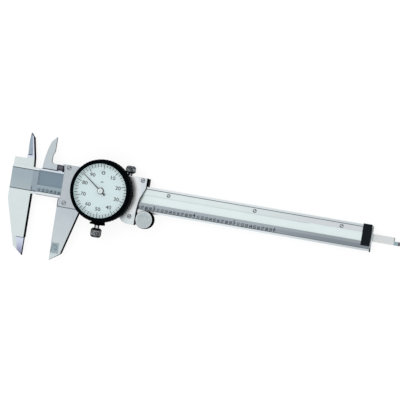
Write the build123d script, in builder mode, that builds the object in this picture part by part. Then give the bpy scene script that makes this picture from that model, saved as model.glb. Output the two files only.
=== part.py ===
"""Dial caliper, six inch range, lying on its back with the jaws a little open.

Units are millimetres. X runs along the bar, from the fixed jaw's measuring face towards
the depth rod's tip. Y points from the bar's centre line to the inside jaws. Z points out
of the dial, from the bar's back face. A slide piece is drawn from the moving jaw's own
measuring face, so its plane starts at X = opening.
"""

from build123d import *
import math
import os

os.makedirs("parts", exist_ok=True)

# Gap between the jaws as modelled, and the full range
opening = 17.4
travel = 152.4
inch = 25.4

# Clearances: of what runs, what turns, what is fitted, what is pressed on, and play endwise
run_clear = 0.05
turn_clear = 0.04
fit_gap = 0.03
press_gap = 0.01
end_play = 0.1

# Bar
bar_width = 16.0
bar_thickness = 3.7
bar_left = 14.0
half_width = bar_width / 2

# Front channel for the rack, and the ground band that carries the scale
channel_start = 3.0
channel_land = 1.6
channel_width = 8.4
channel_depth = 1.2
band_lip = 1.15
band_depth = 0.12
channel_top = half_width - channel_land
channel_bottom = channel_top - channel_width
channel_floor = bar_thickness - channel_depth
band_bottom = band_lip - half_width

# Outside jaws: their reach below the bar, their outlines and their ground edges
jaw_step = 0.25
jaw_reach = 38.1
fixed_flare = 0.2
fixed_shoulder_drop = 4.6
fixed_shoulder_rounding = 9.0
fixed_nose_width = 6.1
slide_jaw_width = 14.6
slide_shoulder_drop = 5.7
slide_nose_width = 7.0
nose_height = 5.0
nose_rounding = 1.5
knife_height = 11.0
knife_width = 6.4
knife_edge = 1.1
jaw_thickness = bar_thickness - jaw_step
jaw_tip_y = -half_width - jaw_reach

# Inside jaws: the fixed blade is the back part of the thickness, the moving one the front
inside_reach = 20.4
inside_line = -6.3
blade_split = 2.4
blade_gap = 0.05
fixed_block_height = 4.7
fixed_root_width = 6.2
fixed_blade_width = 5.1
fixed_blade_height = 5.7
fixed_blade_bow = 0.4
fixed_tip_width = 2.7
fixed_tip_drop = 2.8
tip_slant = 0.3
tip_slant_height = 1.0
blade_bevel_start = 6.8
blade_bevel_width = 3.3
blade_bevel_edge = 0.6
blade_bevel_lean = math.radians(9)
moving_root_width = 6.4
moving_middle_width = 4.6
moving_middle_height = 12.6
moving_tip_width = 2.9
moving_tip_drop = 2.9
undercut = 1.1
undercut_top = 11.6
undercut_slope_end = 8.9
undercut_bottom = 5.6
inside_tip_y = half_width + inside_reach

# Slide frame round the bar
back_wall = 1.05
upper_wall = 2.75
lower_wall = 4.65
gib_width = 2.05
slide_back = -run_clear - back_wall
slide_front = bar_thickness + run_clear
gib_bottom = half_width + run_clear
gib_top = gib_bottom + gib_width
rail_inner = gib_top + run_clear
rail_top = rail_inner + upper_wall
rail_bottom = -half_width - run_clear - lower_wall

# Right end of the frame and plate, with the foot that carries the thumb roller's arm
slide_right = 54.2
frame_inset = 0.8
end_straight = 6.1
end_curve_inset = 2.9
foot_inset = 3.7
foot_width = 3.1
foot_height = 7.2
foot_drop = 3.5
foot_curve_width = 6.6
foot_curve_bulge = 2.6
foot_curve_drop = 2.5
foot_right = slide_right - foot_inset
foot_left = foot_right - foot_width
foot_curve_start = foot_left - foot_curve_width
foot_bottom = rail_bottom - foot_drop

# Arm of the moving inside jaw, and the gib's end lugs
arm_right = 1.0
arm_height = 4.3
arm_rounding = 0.9
edge_gap = 0.1
lug_left = -3.6
lug_right = 0.9
lug_thickness = 0.6
lug_drop = 0.7
lug_height = 3.3
right_lug_extra = 0.7
front_gap = 0.1
arm_top = half_width + arm_height
arm_front = slide_front - front_gap
lug_bottom = half_width + lug_drop

# Front plate and its screws
plate_left = 1.7
plate_thickness = 1.8
plate_chamfer = 0.25
plate_top = slide_front + plate_thickness
plate_screw_inset = 3.0
right_screw_inset = 2.4
plate_screw_edge = 1.6
plate_screw_rise = 2.5
foot_screw_inset = 3.7
foot_screw_rise = 1.3
plate_screw_places = [
    (plate_left + plate_screw_inset, rail_top - plate_screw_edge),
    (plate_left + plate_screw_inset, rail_bottom + plate_screw_rise),
    (slide_right - right_screw_inset, rail_top - plate_screw_edge),
    (foot_right - foot_screw_inset, rail_bottom + foot_screw_rise),
]
plate_screw_head_radius = 1.35
plate_screw_head_height = 0.9
plate_screw_radius = 0.8
plate_screw_depth = 2.3
slot_width = 0.4
slot_depth = 0.35
slot_angle = 35

# Depth rod: a dovetail bar in the bar's back groove, riveted to the frame
rod_y = 0.85
rod_thickness = 1.4
rod_back_width = 4.2
rod_front_width = 4.7
rod_left = 4.0
rod_tip_length = 3.6
rod_tip_width = 2.3
groove_start = 2.5
groove_clear = 0.06
rivet_places = [8.0, 14.0]
rivet_radius = 0.7
rivet_depth = 0.9

# Bar's right end: full travel carries the gib's lug up to the stop
stop_gap = 0.9
stop_length = 5.4
stop_end_gap = 0.2
stop_overhang = 0.6
stop_height = 13.2
stop_proud = 1.1
stop_chamfer = 0.3
stop_screw_offset = 4.15
stop_screw_radius = 0.7
stop_screw_head_radius = 1.4
stop_screw_head_height = 0.6
stop_screw_sink = 0.1
stop_skin = 0.4
stop_left = travel + slide_right + lug_right + stop_gap
stop_middle = stop_left + stop_length / 2
stop_top = half_width + stop_overhang
bar_right = stop_left + stop_length + stop_end_gap
stop_screw_places = [rod_y + stop_screw_offset, rod_y - stop_screw_offset]

# Rack and gears: pointed teeth on rack and wheels, trapezoid teeth on the pinions
rack_pitch = 0.635
rack_pinion_teeth = 20
wheel_module = 0.16
wheel_teeth = 80
centre_pinion_teeth = 16
point_height = 1.2
pinion_addendum = 0.85
pinion_dedendum = 1.45
pinion_thinning = 0.35
pressure_angle = math.radians(30)
rack_module = rack_pitch / math.pi
rack_pinion_radius = rack_module * rack_pinion_teeth / 2
rack_sink = 0.1
rack_lead = 1.92
rack_end_gap = 0.3
rack_spare_teeth = 2
rack_screw_first = 31.5
rack_screw_end = 13.4
rack_screw_count = 4
rack_screw_inset = 1.7
rack_screw_head_radius = 1.15
rack_screw_head_height = 0.45
rack_screw_radius = 0.6
rack_screw_depth = 1.2
rack_thickness = channel_depth - rack_sink
rack_screw_pitch = (stop_left - rack_screw_end - rack_screw_first) / (rack_screw_count - 1)

# Dial, from the moving jaw's face and the bar's centre line
dial_x = 28.2
dial_y = 1.0
wheel_distance = wheel_module * (wheel_teeth + centre_pinion_teeth) / 2
arbor_x = dial_x - wheel_distance
rack_pitch_y = dial_y + rack_pinion_radius

# Movement inside the case, heights from the case's floor
arbor_radius = 0.8
pivot_radius = 0.4
centre_arbor_radius = 0.5
wheel_lift = 1.05
wheel_thickness = 0.45
wheel_spacing = 0.1
spring_radius = 2.1
spring_width = 0.4
spring_thickness = 0.35
spring_split = 1.0
bridge_clear = 0.45
bridge_thickness = 0.6
bridge_margin = 0.6
pillar_radius = 1.3
pillar_angle = 130
third_pillar_x = 10.5
movement_screw_radius = 0.6
movement_screw_head_radius = 1.1
movement_screw_head_height = 0.5
bridge_lift = wheel_lift + 2 * wheel_thickness + wheel_spacing + spring_thickness + bridge_clear

# Dial case, from the plate's top
case_radius = 17.55
case_wall = 1.4
case_floor = 0.9
case_head_room = 0.3
pillar_inset = 2.2
case_screw_inset = 3.15
case_screw_count = 3
case_screw_start = 45
case_screw_skin = 0.5
case_bore = case_radius - case_wall
case_height = case_floor + bridge_lift + bridge_thickness + movement_screw_head_height + case_head_room
case_top = plate_top + case_height
case_inside = plate_top + case_floor
case_screw_circle = case_bore - case_screw_inset
pillar_circle = case_bore - pillar_inset

# Bezel with the dial, the crystal and the rings that hold them
bezel_wall = 1.6
bezel_bore_clear = 0.05
bezel_lift = 1.45
bezel_knurl_count = 60
knurl_depth = 0.2
knurl_start = 0.5
knurl_end = 1.5
bezel_foot_chamfer = 0.3
bezel_slope_height = 1.1
bezel_slope_middle = 0.4
bezel_slope_width = 1.0
lip_thickness = 0.4
lip_width = 0.65
lip_chamfer = 0.3
lip_chamfer_width = 0.6
seat_step = 0.4
snap_ring_thickness = 0.3
snap_ring_width = 0.6
snap_ring_lift = 0.2
dial_thickness = 0.4
dial_hole_radius = 1.3
dial_room = 1.3
spacer_width = 0.45
crystal_thickness = 0.6
wire_lift = 2.2
wire_height = 0.5
wire_depth = 0.3
ring_split = 1.5
bezel_bore = case_radius + bezel_bore_clear
bezel_radius = bezel_bore + bezel_wall
body_radius = bezel_radius - knurl_depth
seat_radius = bezel_bore - seat_step
disc_radius = seat_radius - fit_gap
window_radius = seat_radius - lip_width
bezel_bottom = plate_top + bezel_lift
snap_bottom = case_top + snap_ring_lift
dial_bottom = snap_bottom + snap_ring_thickness
dial_top = dial_bottom + dial_thickness
crystal_bottom = dial_top + dial_room
crystal_top = crystal_bottom + crystal_thickness
bezel_top = crystal_top + lip_thickness
wire_bottom = plate_top + wire_lift
wire_outer = bezel_bore + wire_depth
wire_inner = case_radius - wire_depth + turn_clear

# Hand
hand_tip_inset = 0.95
hand_thickness = 0.15
hand_width = 0.7
hand_tip_width = 0.3
hand_tail = 3.8
hand_tail_width = 1.3
hand_boss_radius = 1.4
hand_cap_radius = 1.7
hand_cap_height = 0.5
hand_cap_chamfer = 0.15
hand_cap_skin = 0.1
hand_lift = 0.35
hand_length = window_radius - hand_tip_inset
hand_bottom = dial_top + hand_lift
hand_top = hand_bottom + hand_thickness
cap_top = hand_top + hand_cap_height

# Bezel clamp at six o'clock
clamp_width = 8.4
clamp_depth = 1.2
clamp_height = 5.0
clamp_gap = 0.25
clamp_arm_gap = 0.2
clamp_boss_radius = 1.9
clamp_boss_length = 0.3
clamp_stem_radius = 1.5
clamp_stem_show = 1.8
clamp_tip_gap = 0.12
clamp_knob_radius = 3.45
clamp_knob_length = 5.7
clamp_axis_lift = 1.75
clamp_inner = bezel_radius + clamp_gap
clamp_outer = clamp_inner + clamp_depth
clamp_axis_z = plate_top + clamp_axis_lift

# Lock screw on the top rail, above the bar's middle so that its knob clears the table
lock_inset = 12.0
lock_z = 2.15
lock_x = slide_right - lock_inset
lock_stem_radius = 1.45
lock_stem_show = 1.4
lock_knob_radius = 3.2
lock_knob_length = 4.5
knob_knurl_count = 24
knob_knurl_depth = 0.25
knob_chamfer = 0.8
knob_crown = 1.4
stem_chamfer = 0.3

# Gib screws
gib_screw_first = 9.0
gib_screw_inset = 7.7
gib_screw_places = [gib_screw_first, slide_right - gib_screw_inset]
gib_screw_radius = 0.8
gib_screw_length = 2.3
gib_screw_z = bar_thickness / 2

# Thumb roller: its hub rolls on the bar's lower edge
roller_drop = 3.8
roller_side_gap = 1.15
roller_radius = 5.6
roller_thickness = 5.8
roller_knurl_count = 40
roller_lift = 0.25
roller_chamfer = 0.45
roller_rim_width = 0.75
roller_dish = 0.12
roll_gap = 0.03
hub_back = 0.25
axle_radius = 1.0
axle_chamfer = 0.2
axle_collar_radius = 1.8
axle_cover = 1.4
roller_x = foot_right + roller_side_gap + roller_radius
roller_y = -half_width - roller_drop
hub_radius = roller_drop - roll_gap
roller_back = bar_thickness + roller_lift
roller_front = roller_back + roller_thickness
axle_end = roller_front - axle_cover

# Arm that carries the roller, let into the frame's back
arm_thickness = 0.8
arm_width = 4.0
arm_eye_margin = 0.6
arm_inset = 8.9
arm_screw_inset = 2.0
arm_screw_pitch = 4.2
arm_left = foot_right - arm_inset
arm_screw_places = [arm_left + arm_screw_inset, arm_left + arm_screw_inset + arm_screw_pitch]
arm_screw_radius = 0.7
arm_screw_head_radius = 1.3
arm_screw_head_height = 0.4
arm_screw_length = 1.9
arm_plate_top = slide_back + arm_thickness


def slide_plane(z=0.0):
    """Plane of a slide piece at height z, with its origin on the moving jaw's face."""
    return Plane(origin=(opening, 0, z))


def dial_plane(z=0.0):
    """Plane at height z with its origin on the dial's axis."""
    return Plane(origin=(opening + dial_x, dial_y, z))


def section_plane(x, y):
    """Upright plane through (x, y): local x runs along X and local y along Z."""
    return Plane(origin=(x, y, 0), x_dir=(1, 0, 0), z_dir=(0, -1, 0))


def edge_plane(y, z):
    """Plane at (y, z) that faces the top rail: local x runs along the slide and z along Y."""
    return Plane(origin=(opening, y, z), x_dir=(1, 0, 0), z_dir=(0, 1, 0))


def back_plane(x, y, z):
    """Plane at (x, y, z) that faces backwards: local x runs along X and local y against Y."""
    return Plane(origin=(x, y, z), x_dir=(1, 0, 0), z_dir=(0, 0, -1))


def polar(radius, angle):
    return (radius * math.cos(angle), radius * math.sin(angle))


def pointed_wheel(teeth, root_radius, tip_radius, first_tooth=0.0):
    """Outline of a wheel with pointed teeth: a tip and a root point for each tooth."""
    points = []
    for tooth in range(teeth):
        centre = first_tooth + 2 * math.pi * tooth / teeth
        points.append(polar(tip_radius, centre))
        points.append(polar(root_radius, centre + math.pi / teeth))
    return points


def involute(angle):
    return math.tan(angle) - angle


def pinion_outline(teeth, module_size, first_tooth):
    """Outline of a pinion with trapezoid teeth, whose corners lie on the involute."""
    pitch_radius = teeth * module_size / 2
    base_radius = pitch_radius * math.cos(pressure_angle)
    tip_radius = pitch_radius + pinion_addendum * module_size
    root_radius = pitch_radius - pinion_dedendum * module_size

    def half_tooth(radius):
        at_radius = math.acos(min(1, base_radius / radius))
        half_pitch = math.pi / (2 * teeth) - pinion_thinning / teeth
        return half_pitch + involute(pressure_angle) - involute(at_radius)

    tip = half_tooth(tip_radius)
    root = half_tooth(max(root_radius, base_radius))
    points = []
    for tooth in range(teeth):
        centre = first_tooth + 2 * math.pi * tooth / teeth
        points.append(polar(root_radius, centre - root))
        points.append(polar(tip_radius, centre - tip))
        points.append(polar(tip_radius, centre + tip))
        points.append(polar(root_radius, centre + root))
    return points


def finish(piece, name):
    piece.part.label = name
    export_step(piece.part, f"parts/{name}.step")


def knife_outline(way):
    """What the two ground bevels take off an outside jaw; way is -1 for the fixed jaw."""
    bevel = (jaw_thickness - knife_edge) / 2
    with BuildSketch() as outline:
        for start, side in ((jaw_thickness, 1), (0, -1)):
            with BuildLine():
                Polyline(
                    (way * knife_width, start),
                    (-way, start + side),
                    (-way, start - side * bevel),
                    (0, start - side * bevel),
                    close=True,
                )
            make_face()
    return outline.sketch


# Bar with its two fixed jaws

fixed_block_top = half_width + fixed_block_height
fixed_jaw_width = bar_left + fixed_flare
bevel_plane = Plane(
    origin=(inside_line, half_width + blade_bevel_start, 0),
    x_dir=(math.cos(blade_bevel_lean), math.sin(blade_bevel_lean), 0),
    z_dir=(math.sin(blade_bevel_lean), -math.cos(blade_bevel_lean), 0),
)

with BuildPart() as beam:
    with BuildSketch(Plane.XY):
        with Locations(((bar_right - bar_left) / 2, 0)):
            Rectangle(bar_left + bar_right, bar_width)
    extrude(amount=bar_thickness)
    # outside jaw, with a rounded corner where it starts to taper
    with BuildSketch(Plane.XY):
        with BuildLine():
            Polyline(
                (0, 0),
                (0, jaw_tip_y),
                (-fixed_nose_width, jaw_tip_y + nose_height),
                (-fixed_jaw_width, -half_width - fixed_shoulder_drop),
                (-bar_left, 0),
                close=True,
            )
        outline = make_face()
        fillet(outline.vertices().sort_by(Axis.X)[0:1], radius=fixed_shoulder_rounding)
        nose = outline.vertices().sort_by(Axis.Y)[1:2]
        fillet(nose, radius=nose_rounding)
    extrude(amount=jaw_thickness)
    # inside jaw, back part of the thickness
    with BuildSketch(Plane.XY):
        with BuildLine():
            ThreePointArc(
                (inside_line, fixed_block_top),
                (inside_line - fixed_blade_bow, (fixed_block_top + inside_tip_y) / 2),
                (inside_line, inside_tip_y - tip_slant_height),
            )
            Polyline(
                (inside_line, inside_tip_y - tip_slant_height),
                (inside_line + tip_slant, inside_tip_y),
                (inside_line + fixed_tip_width, inside_tip_y - fixed_tip_drop),
                (inside_line + fixed_blade_width, half_width + fixed_blade_height),
                (inside_line + fixed_root_width, 0),
                (-bar_left, 0),
                (-bar_left, fixed_block_top),
                (inside_line, fixed_block_top),
            )
        make_face()
    extrude(amount=blade_split - blade_gap)
    # knife edge: the outside jaw's end is ground thin towards its measuring face
    with BuildSketch(section_plane(0, jaw_tip_y + knife_height)):
        add(knife_outline(-1))
    extrude(amount=knife_height + nose_height, mode=Mode.SUBTRACT)
    # bevel on the inside blade's front, down to its measuring side; it narrows towards the tip
    with BuildSketch(bevel_plane):
        with BuildLine():
            Polyline(
                (blade_bevel_width, blade_split - blade_gap),
                (0, bar_thickness),
                (-blade_bevel_width, bar_thickness),
                (-blade_bevel_width, blade_bevel_edge),
                (0, blade_bevel_edge),
                close=True,
            )
        make_face()
    extrude(amount=-inside_reach, mode=Mode.SUBTRACT)
    # channel for the rack and the gear
    with BuildSketch(Plane.XY.offset(channel_floor)):
        with Locations((channel_start, channel_bottom)):
            Rectangle(bar_right, channel_width, align=Align.MIN)
    extrude(amount=channel_depth, mode=Mode.SUBTRACT)
    # ground band for the scale
    with BuildSketch(Plane.XY.offset(bar_thickness - band_depth)):
        with Locations((-bar_left, band_bottom)):
            Rectangle(bar_left + bar_right, channel_bottom - band_bottom, align=Align.MIN)
    extrude(amount=band_depth, mode=Mode.SUBTRACT)
    # dovetail groove for the depth rod
    with BuildSketch(Plane.YZ.offset(groove_start)):
        with BuildLine():
            Polyline(
                (rod_y - rod_back_width / 2 - groove_clear, 0),
                (rod_y - rod_front_width / 2 - groove_clear, rod_thickness + groove_clear),
                (rod_y + rod_front_width / 2 + groove_clear, rod_thickness + groove_clear),
                (rod_y + rod_back_width / 2 + groove_clear, 0),
                close=True,
            )
        make_face()
    extrude(amount=bar_right, mode=Mode.SUBTRACT)
    # holes for the rack's screws, and for the stop's from the back
    with BuildSketch(Plane.XY.offset(channel_floor)):
        for number in range(rack_screw_count):
            with Locations((rack_screw_first + number * rack_screw_pitch, channel_top - rack_screw_inset)):
                Circle(rack_screw_radius + fit_gap)
    extrude(amount=-rack_screw_depth - fit_gap, mode=Mode.SUBTRACT)
    with Locations(*[back_plane(stop_middle, place, 0) for place in stop_screw_places]):
        CounterBoreHole(
            radius=stop_screw_radius + fit_gap,
            counter_bore_radius=stop_screw_head_radius + fit_gap,
            counter_bore_depth=stop_screw_head_height + stop_screw_sink,
            depth=bar_thickness,
        )
finish(beam, "beam")

# Rack: a strip with teeth along its lower edge, as far as the gear runs and a few more at
# each end. A gap between two teeth stands over the gear

rack_start = arbor_x - rack_lead
rack_right = stop_left - rack_end_gap
tooth_half = point_height * rack_module
first_gap = opening + arbor_x
gaps_before = math.ceil(opening / rack_pitch) + rack_spare_teeth
gaps_after = math.ceil((travel - opening) / rack_pitch) + rack_spare_teeth

rack_points = [(rack_start, channel_top), (rack_start, rack_pitch_y + tooth_half)]
for gap in range(-gaps_before, gaps_after + 1):
    middle = first_gap + gap * rack_pitch
    rack_points.append((middle, rack_pitch_y + tooth_half))
    if gap < gaps_after:
        rack_points.append((middle + rack_pitch / 2, rack_pitch_y - tooth_half))
rack_points += [(rack_right, rack_pitch_y + tooth_half), (rack_right, channel_top)]
rack_screw_places = [
    (rack_screw_first + number * rack_screw_pitch, channel_top - rack_screw_inset)
    for number in range(rack_screw_count)
]
rack_top = Plane.XY.offset(channel_floor + rack_thickness)

with BuildPart() as rack:
    with BuildSketch(Plane.XY.offset(channel_floor)):
        with BuildLine():
            Polyline(*rack_points, close=True)
        make_face()
    extrude(amount=rack_thickness)
    with Locations(rack_top), Locations(*rack_screw_places):
        CounterBoreHole(
            radius=rack_screw_radius + fit_gap,
            counter_bore_radius=rack_screw_head_radius + fit_gap,
            counter_bore_depth=rack_screw_head_height,
            depth=rack_thickness,
        )
finish(rack, "rack")


def slotted_screw(name, plane, places, head_radius, head_height, shank_radius, shank_length):
    """Group of slotted screws whose heads' tops lie on the plane, heads and shanks below."""
    with BuildPart() as screws:
        with BuildSketch(plane):
            with Locations(*places):
                Circle(head_radius)
        extrude(amount=-head_height)
        with BuildSketch(plane.offset(-head_height)):
            with Locations(*places):
                Circle(shank_radius)
        extrude(amount=-shank_length)
        with BuildSketch(plane):
            with Locations(*places):
                Rectangle(3 * head_radius, slot_width, rotation=slot_angle)
        extrude(amount=-slot_depth, mode=Mode.SUBTRACT)
    finish(screws, name)


slotted_screw(
    "rack_screws",
    rack_top,
    rack_screw_places,
    rack_screw_head_radius,
    rack_screw_head_height,
    rack_screw_radius,
    rack_thickness - rack_screw_head_height + rack_screw_depth,
)

# End stop: a block over the bar's end with a tongue in the channel

with BuildPart() as end_stop:
    with BuildSketch(Plane.XY.offset(bar_thickness)):
        with Locations((stop_left, stop_top)):
            Rectangle(stop_length, stop_height, align=(Align.MIN, Align.MAX))
    extrude(amount=stop_proud)
    chamfer(end_stop.faces().sort_by(Axis.Z)[-1].edges(), length=stop_chamfer)
    with BuildSketch(Plane.XY.offset(channel_floor)):
        with Locations((stop_left, channel_bottom + fit_gap)):
            Rectangle(stop_length, channel_width - 2 * fit_gap, align=Align.MIN)
    extrude(amount=channel_depth)
    with Locations(*[back_plane(stop_middle, place, channel_floor) for place in stop_screw_places]):
        Hole(radius=stop_screw_radius + fit_gap, depth=channel_depth + stop_proud - stop_skin)
finish(end_stop, "end_stop")

slotted_screw(
    "end_stop_screws",
    back_plane(stop_middle, 0, stop_screw_sink),
    [(0, -place) for place in stop_screw_places],
    stop_screw_head_radius,
    stop_screw_head_height,
    stop_screw_radius,
    bar_thickness - stop_screw_sink,
)


def slide_outline(left, inset):
    """Outline of the slide's frame or plate: straight left edge, curved right end."""
    right = slide_right - inset
    curve_start = (foot_right - inset, foot_bottom + foot_height)
    curve_end = (right, rail_top - end_straight)
    with BuildSketch() as outline:
        with BuildLine():
            Polyline(
                curve_end,
                (right, rail_top),
                (left, rail_top),
                (left, rail_bottom),
                (foot_curve_start - inset, rail_bottom),
            )
            ThreePointArc(
                (foot_curve_start - inset, rail_bottom),
                (foot_curve_start + foot_curve_bulge - inset, rail_bottom - foot_curve_drop),
                (foot_left - inset, foot_bottom),
            )
            Polyline((foot_left - inset, foot_bottom), (foot_right - inset, foot_bottom), curve_start)
            Spline(curve_start, (right - end_curve_inset, 0), curve_end, tangents=[(0, 1), (0.35, 1)])
        make_face()
    return outline.sketch


# Slide frame with its outside and inside jaws

moving_tip = (inside_line - moving_tip_width, inside_tip_y - moving_tip_drop)
undercut_root = (inside_line - undercut, half_width + undercut_bottom)
arm_root = (inside_line + arm_rounding, arm_top)
arm_mark = (inside_line - arm_rounding / 2, arm_top + arm_rounding / 3)

with BuildPart() as slide_body:
    with BuildSketch(slide_plane(slide_back)):
        add(slide_outline(0, frame_inset))
    extrude(amount=slide_front - slide_back)
    # passage for the bar and the gib
    with BuildSketch(slide_plane(-run_clear)):
        with Locations((0, -half_width - run_clear)):
            Rectangle(slide_right, half_width + run_clear + rail_inner, align=Align.MIN)
    extrude(amount=slide_front + run_clear, mode=Mode.SUBTRACT)
    # outside jaw
    with BuildSketch(slide_plane()):
        with BuildLine():
            Polyline(
                (0, rail_bottom + lower_wall / 2),
                (0, jaw_tip_y),
                (slide_nose_width, jaw_tip_y + nose_height),
                (slide_jaw_width, -half_width - slide_shoulder_drop),
                (slide_jaw_width, rail_bottom + lower_wall / 2),
                close=True,
            )
        outline = make_face()
        nose = outline.vertices().sort_by(Axis.Y)[1:2]
        fillet(nose, radius=nose_rounding)
    extrude(amount=jaw_thickness)
    # inside jaw and its arm, front part of the thickness
    with BuildSketch(slide_plane(blade_split)):
        with BuildLine():
            Spline(
                (inside_line - moving_root_width, half_width + edge_gap),
                (inside_line - moving_middle_width, half_width + moving_middle_height),
                moving_tip,
                tangents=[(0, 1), (0.55, 1)],
            )
            Polyline(
                moving_tip,
                (inside_line, inside_tip_y),
                (inside_line, half_width + undercut_top),
                (inside_line - undercut, half_width + undercut_slope_end),
                undercut_root,
            )
            ThreePointArc(undercut_root, arm_mark, arm_root)
            Polyline(
                arm_root,
                (arm_right, arm_top),
                (arm_right, half_width + edge_gap),
                (inside_line - moving_root_width, half_width + edge_gap),
            )
        make_face()
    extrude(amount=arm_front - blade_split)
    with BuildSketch(slide_plane(-run_clear)):
        with Locations((0, gib_bottom)):
            Rectangle(slide_right, gib_width + run_clear, align=Align.MIN)
    extrude(amount=slide_front + run_clear, mode=Mode.SUBTRACT)
    # pocket for the gib's left lug
    with BuildSketch(slide_plane(arm_front - lug_thickness)):
        with Locations((lug_left, lug_bottom)):
            Rectangle(arm_right - lug_left, lug_height, align=Align.MIN)
    extrude(amount=lug_thickness + front_gap, mode=Mode.SUBTRACT)
    # knife edge of the outside jaw
    with BuildSketch(section_plane(opening, jaw_tip_y + knife_height)):
        add(knife_outline(1))
    extrude(amount=knife_height + nose_height, mode=Mode.SUBTRACT)
    # holes for the plate's screws
    with BuildSketch(slide_plane(slide_front)):
        with Locations(*plate_screw_places):
            Circle(plate_screw_radius + fit_gap)
    extrude(amount=-plate_screw_depth - fit_gap, mode=Mode.SUBTRACT)
    # holes through the top rail for the lock screw and the gib screws
    with BuildSketch(edge_plane(rail_top, 0)):
        with Locations((lock_x, -lock_z)):
            Circle(lock_stem_radius + turn_clear)
        with Locations(*[(place, -gib_screw_z) for place in gib_screw_places]):
            Circle(gib_screw_radius + fit_gap)
    extrude(amount=-upper_wall, mode=Mode.SUBTRACT)
    # rivet holes for the depth rod
    with BuildSketch(slide_plane(slide_back)):
        with Locations(*[(place, rod_y) for place in rivet_places]):
            Circle(rivet_radius + fit_gap)
    extrude(amount=back_wall, mode=Mode.SUBTRACT)
    # pocket and screw holes for the roller's arm
    with BuildSketch(slide_plane(slide_back)):
        with Locations((arm_left, roller_y)):
            Rectangle(slide_right, arm_width + 2 * fit_gap, align=(Align.MIN, Align.CENTER))
    extrude(amount=arm_thickness, mode=Mode.SUBTRACT)
    with BuildSketch(slide_plane(slide_back)):
        with Locations(*[(place, roller_y) for place in arm_screw_places]):
            Circle(arm_screw_radius + fit_gap)
    extrude(amount=arm_screw_length + fit_gap, mode=Mode.SUBTRACT)
finish(slide_body, "slide_body")

# Gib: a strip between the top rail and the bar's edge, held lengthwise by a lug at each end

frame_right = slide_right - frame_inset
gib_front = slide_front - front_gap

with BuildPart() as gib:
    with BuildSketch(slide_plane(run_clear)):
        with Locations((fit_gap, gib_bottom)):
            Rectangle(slide_right + lug_right - fit_gap, gib_width, align=Align.MIN)
        with Locations((frame_right + fit_gap, lug_bottom)):
            Rectangle(
                slide_right + lug_right - frame_right - fit_gap,
                lug_height + right_lug_extra,
                align=Align.MIN,
            )
    extrude(amount=gib_front - run_clear)
    with BuildSketch(slide_plane(arm_front - lug_thickness)):
        with Locations((lug_left + fit_gap, lug_bottom + fit_gap)):
            Rectangle(arm_right - lug_left - 2 * fit_gap, lug_height - 2 * fit_gap, align=Align.MIN)
    extrude(amount=lug_thickness)
finish(gib, "gib")

with BuildPart() as gib_screws:
    screw_end = edge_plane(gib_top + gib_screw_length, gib_screw_z)
    with BuildSketch(screw_end):
        with Locations(*[(place, 0) for place in gib_screw_places]):
            Circle(gib_screw_radius)
    extrude(amount=-gib_screw_length)
    with BuildSketch(screw_end):
        with Locations(*[(place, 0) for place in gib_screw_places]):
            Rectangle(3 * gib_screw_radius, slot_width)
    extrude(amount=-slot_depth, mode=Mode.SUBTRACT)
finish(gib_screws, "gib_screws")

# Front plate: covers the frame and carries the dial

with BuildPart() as front_plate:
    with BuildSketch(slide_plane(slide_front)):
        add(slide_outline(plate_left, 0))
    extrude(amount=plate_thickness)
    chamfer(front_plate.faces().sort_by(Axis.Z)[-1].edges(), length=plate_chamfer)
    with Locations(slide_plane(plate_top)), Locations(*plate_screw_places):
        CounterBoreHole(
            radius=plate_screw_radius + fit_gap,
            counter_bore_radius=plate_screw_head_radius + fit_gap,
            counter_bore_depth=plate_screw_head_height,
            depth=plate_thickness,
        )
    with Locations(slide_plane(plate_top)), Locations((arbor_x, dial_y)):
        Hole(radius=arbor_radius + turn_clear, depth=plate_thickness)
    with Locations(dial_plane(plate_top)):
        with PolarLocations(case_screw_circle, case_screw_count, start_angle=case_screw_start):
            Hole(radius=movement_screw_radius + fit_gap, depth=plate_thickness - case_screw_skin)
finish(front_plate, "front_plate")

slotted_screw(
    "plate_screws",
    slide_plane(plate_top),
    plate_screw_places,
    plate_screw_head_radius,
    plate_screw_head_height,
    plate_screw_radius,
    plate_thickness - plate_screw_head_height + plate_screw_depth,
)

# Depth rod and its rivets; with the jaws closed its tip is flush with the bar's end

rod_right = bar_right + opening

with BuildPart() as depth_rod:
    with BuildSketch(Plane.YZ.offset(opening + rod_left)):
        with BuildLine():
            Polyline(
                (rod_y - rod_back_width / 2, -run_clear),
                (rod_y - rod_front_width / 2, rod_thickness),
                (rod_y + rod_front_width / 2, rod_thickness),
                (rod_y + rod_back_width / 2, -run_clear),
                close=True,
            )
        make_face()
    extrude(amount=rod_right - opening - rod_left)
    # narrow tip along the rod's lower edge
    with BuildSketch(Plane.XY.offset(-run_clear)):
        with Locations((rod_right, rod_y - rod_front_width / 2 + rod_tip_width)):
            Rectangle(rod_tip_length, rod_front_width, align=(Align.MAX, Align.MIN))
    extrude(amount=rod_thickness + run_clear, mode=Mode.SUBTRACT)
    with BuildSketch(slide_plane(-run_clear)):
        with Locations(*[(place, rod_y) for place in rivet_places]):
            Circle(rivet_radius + fit_gap)
    extrude(amount=rivet_depth + fit_gap, mode=Mode.SUBTRACT)
finish(depth_rod, "depth_rod")

with BuildPart() as depth_rod_rivets:
    with BuildSketch(slide_plane(slide_back)):
        with Locations(*[(place, rod_y) for place in rivet_places]):
            Circle(rivet_radius)
    extrude(amount=back_wall + rivet_depth)
finish(depth_rod_rivets, "depth_rod_rivets")

# Thumb roller, its arm in the frame's back, the arm's screws and the axle

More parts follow.
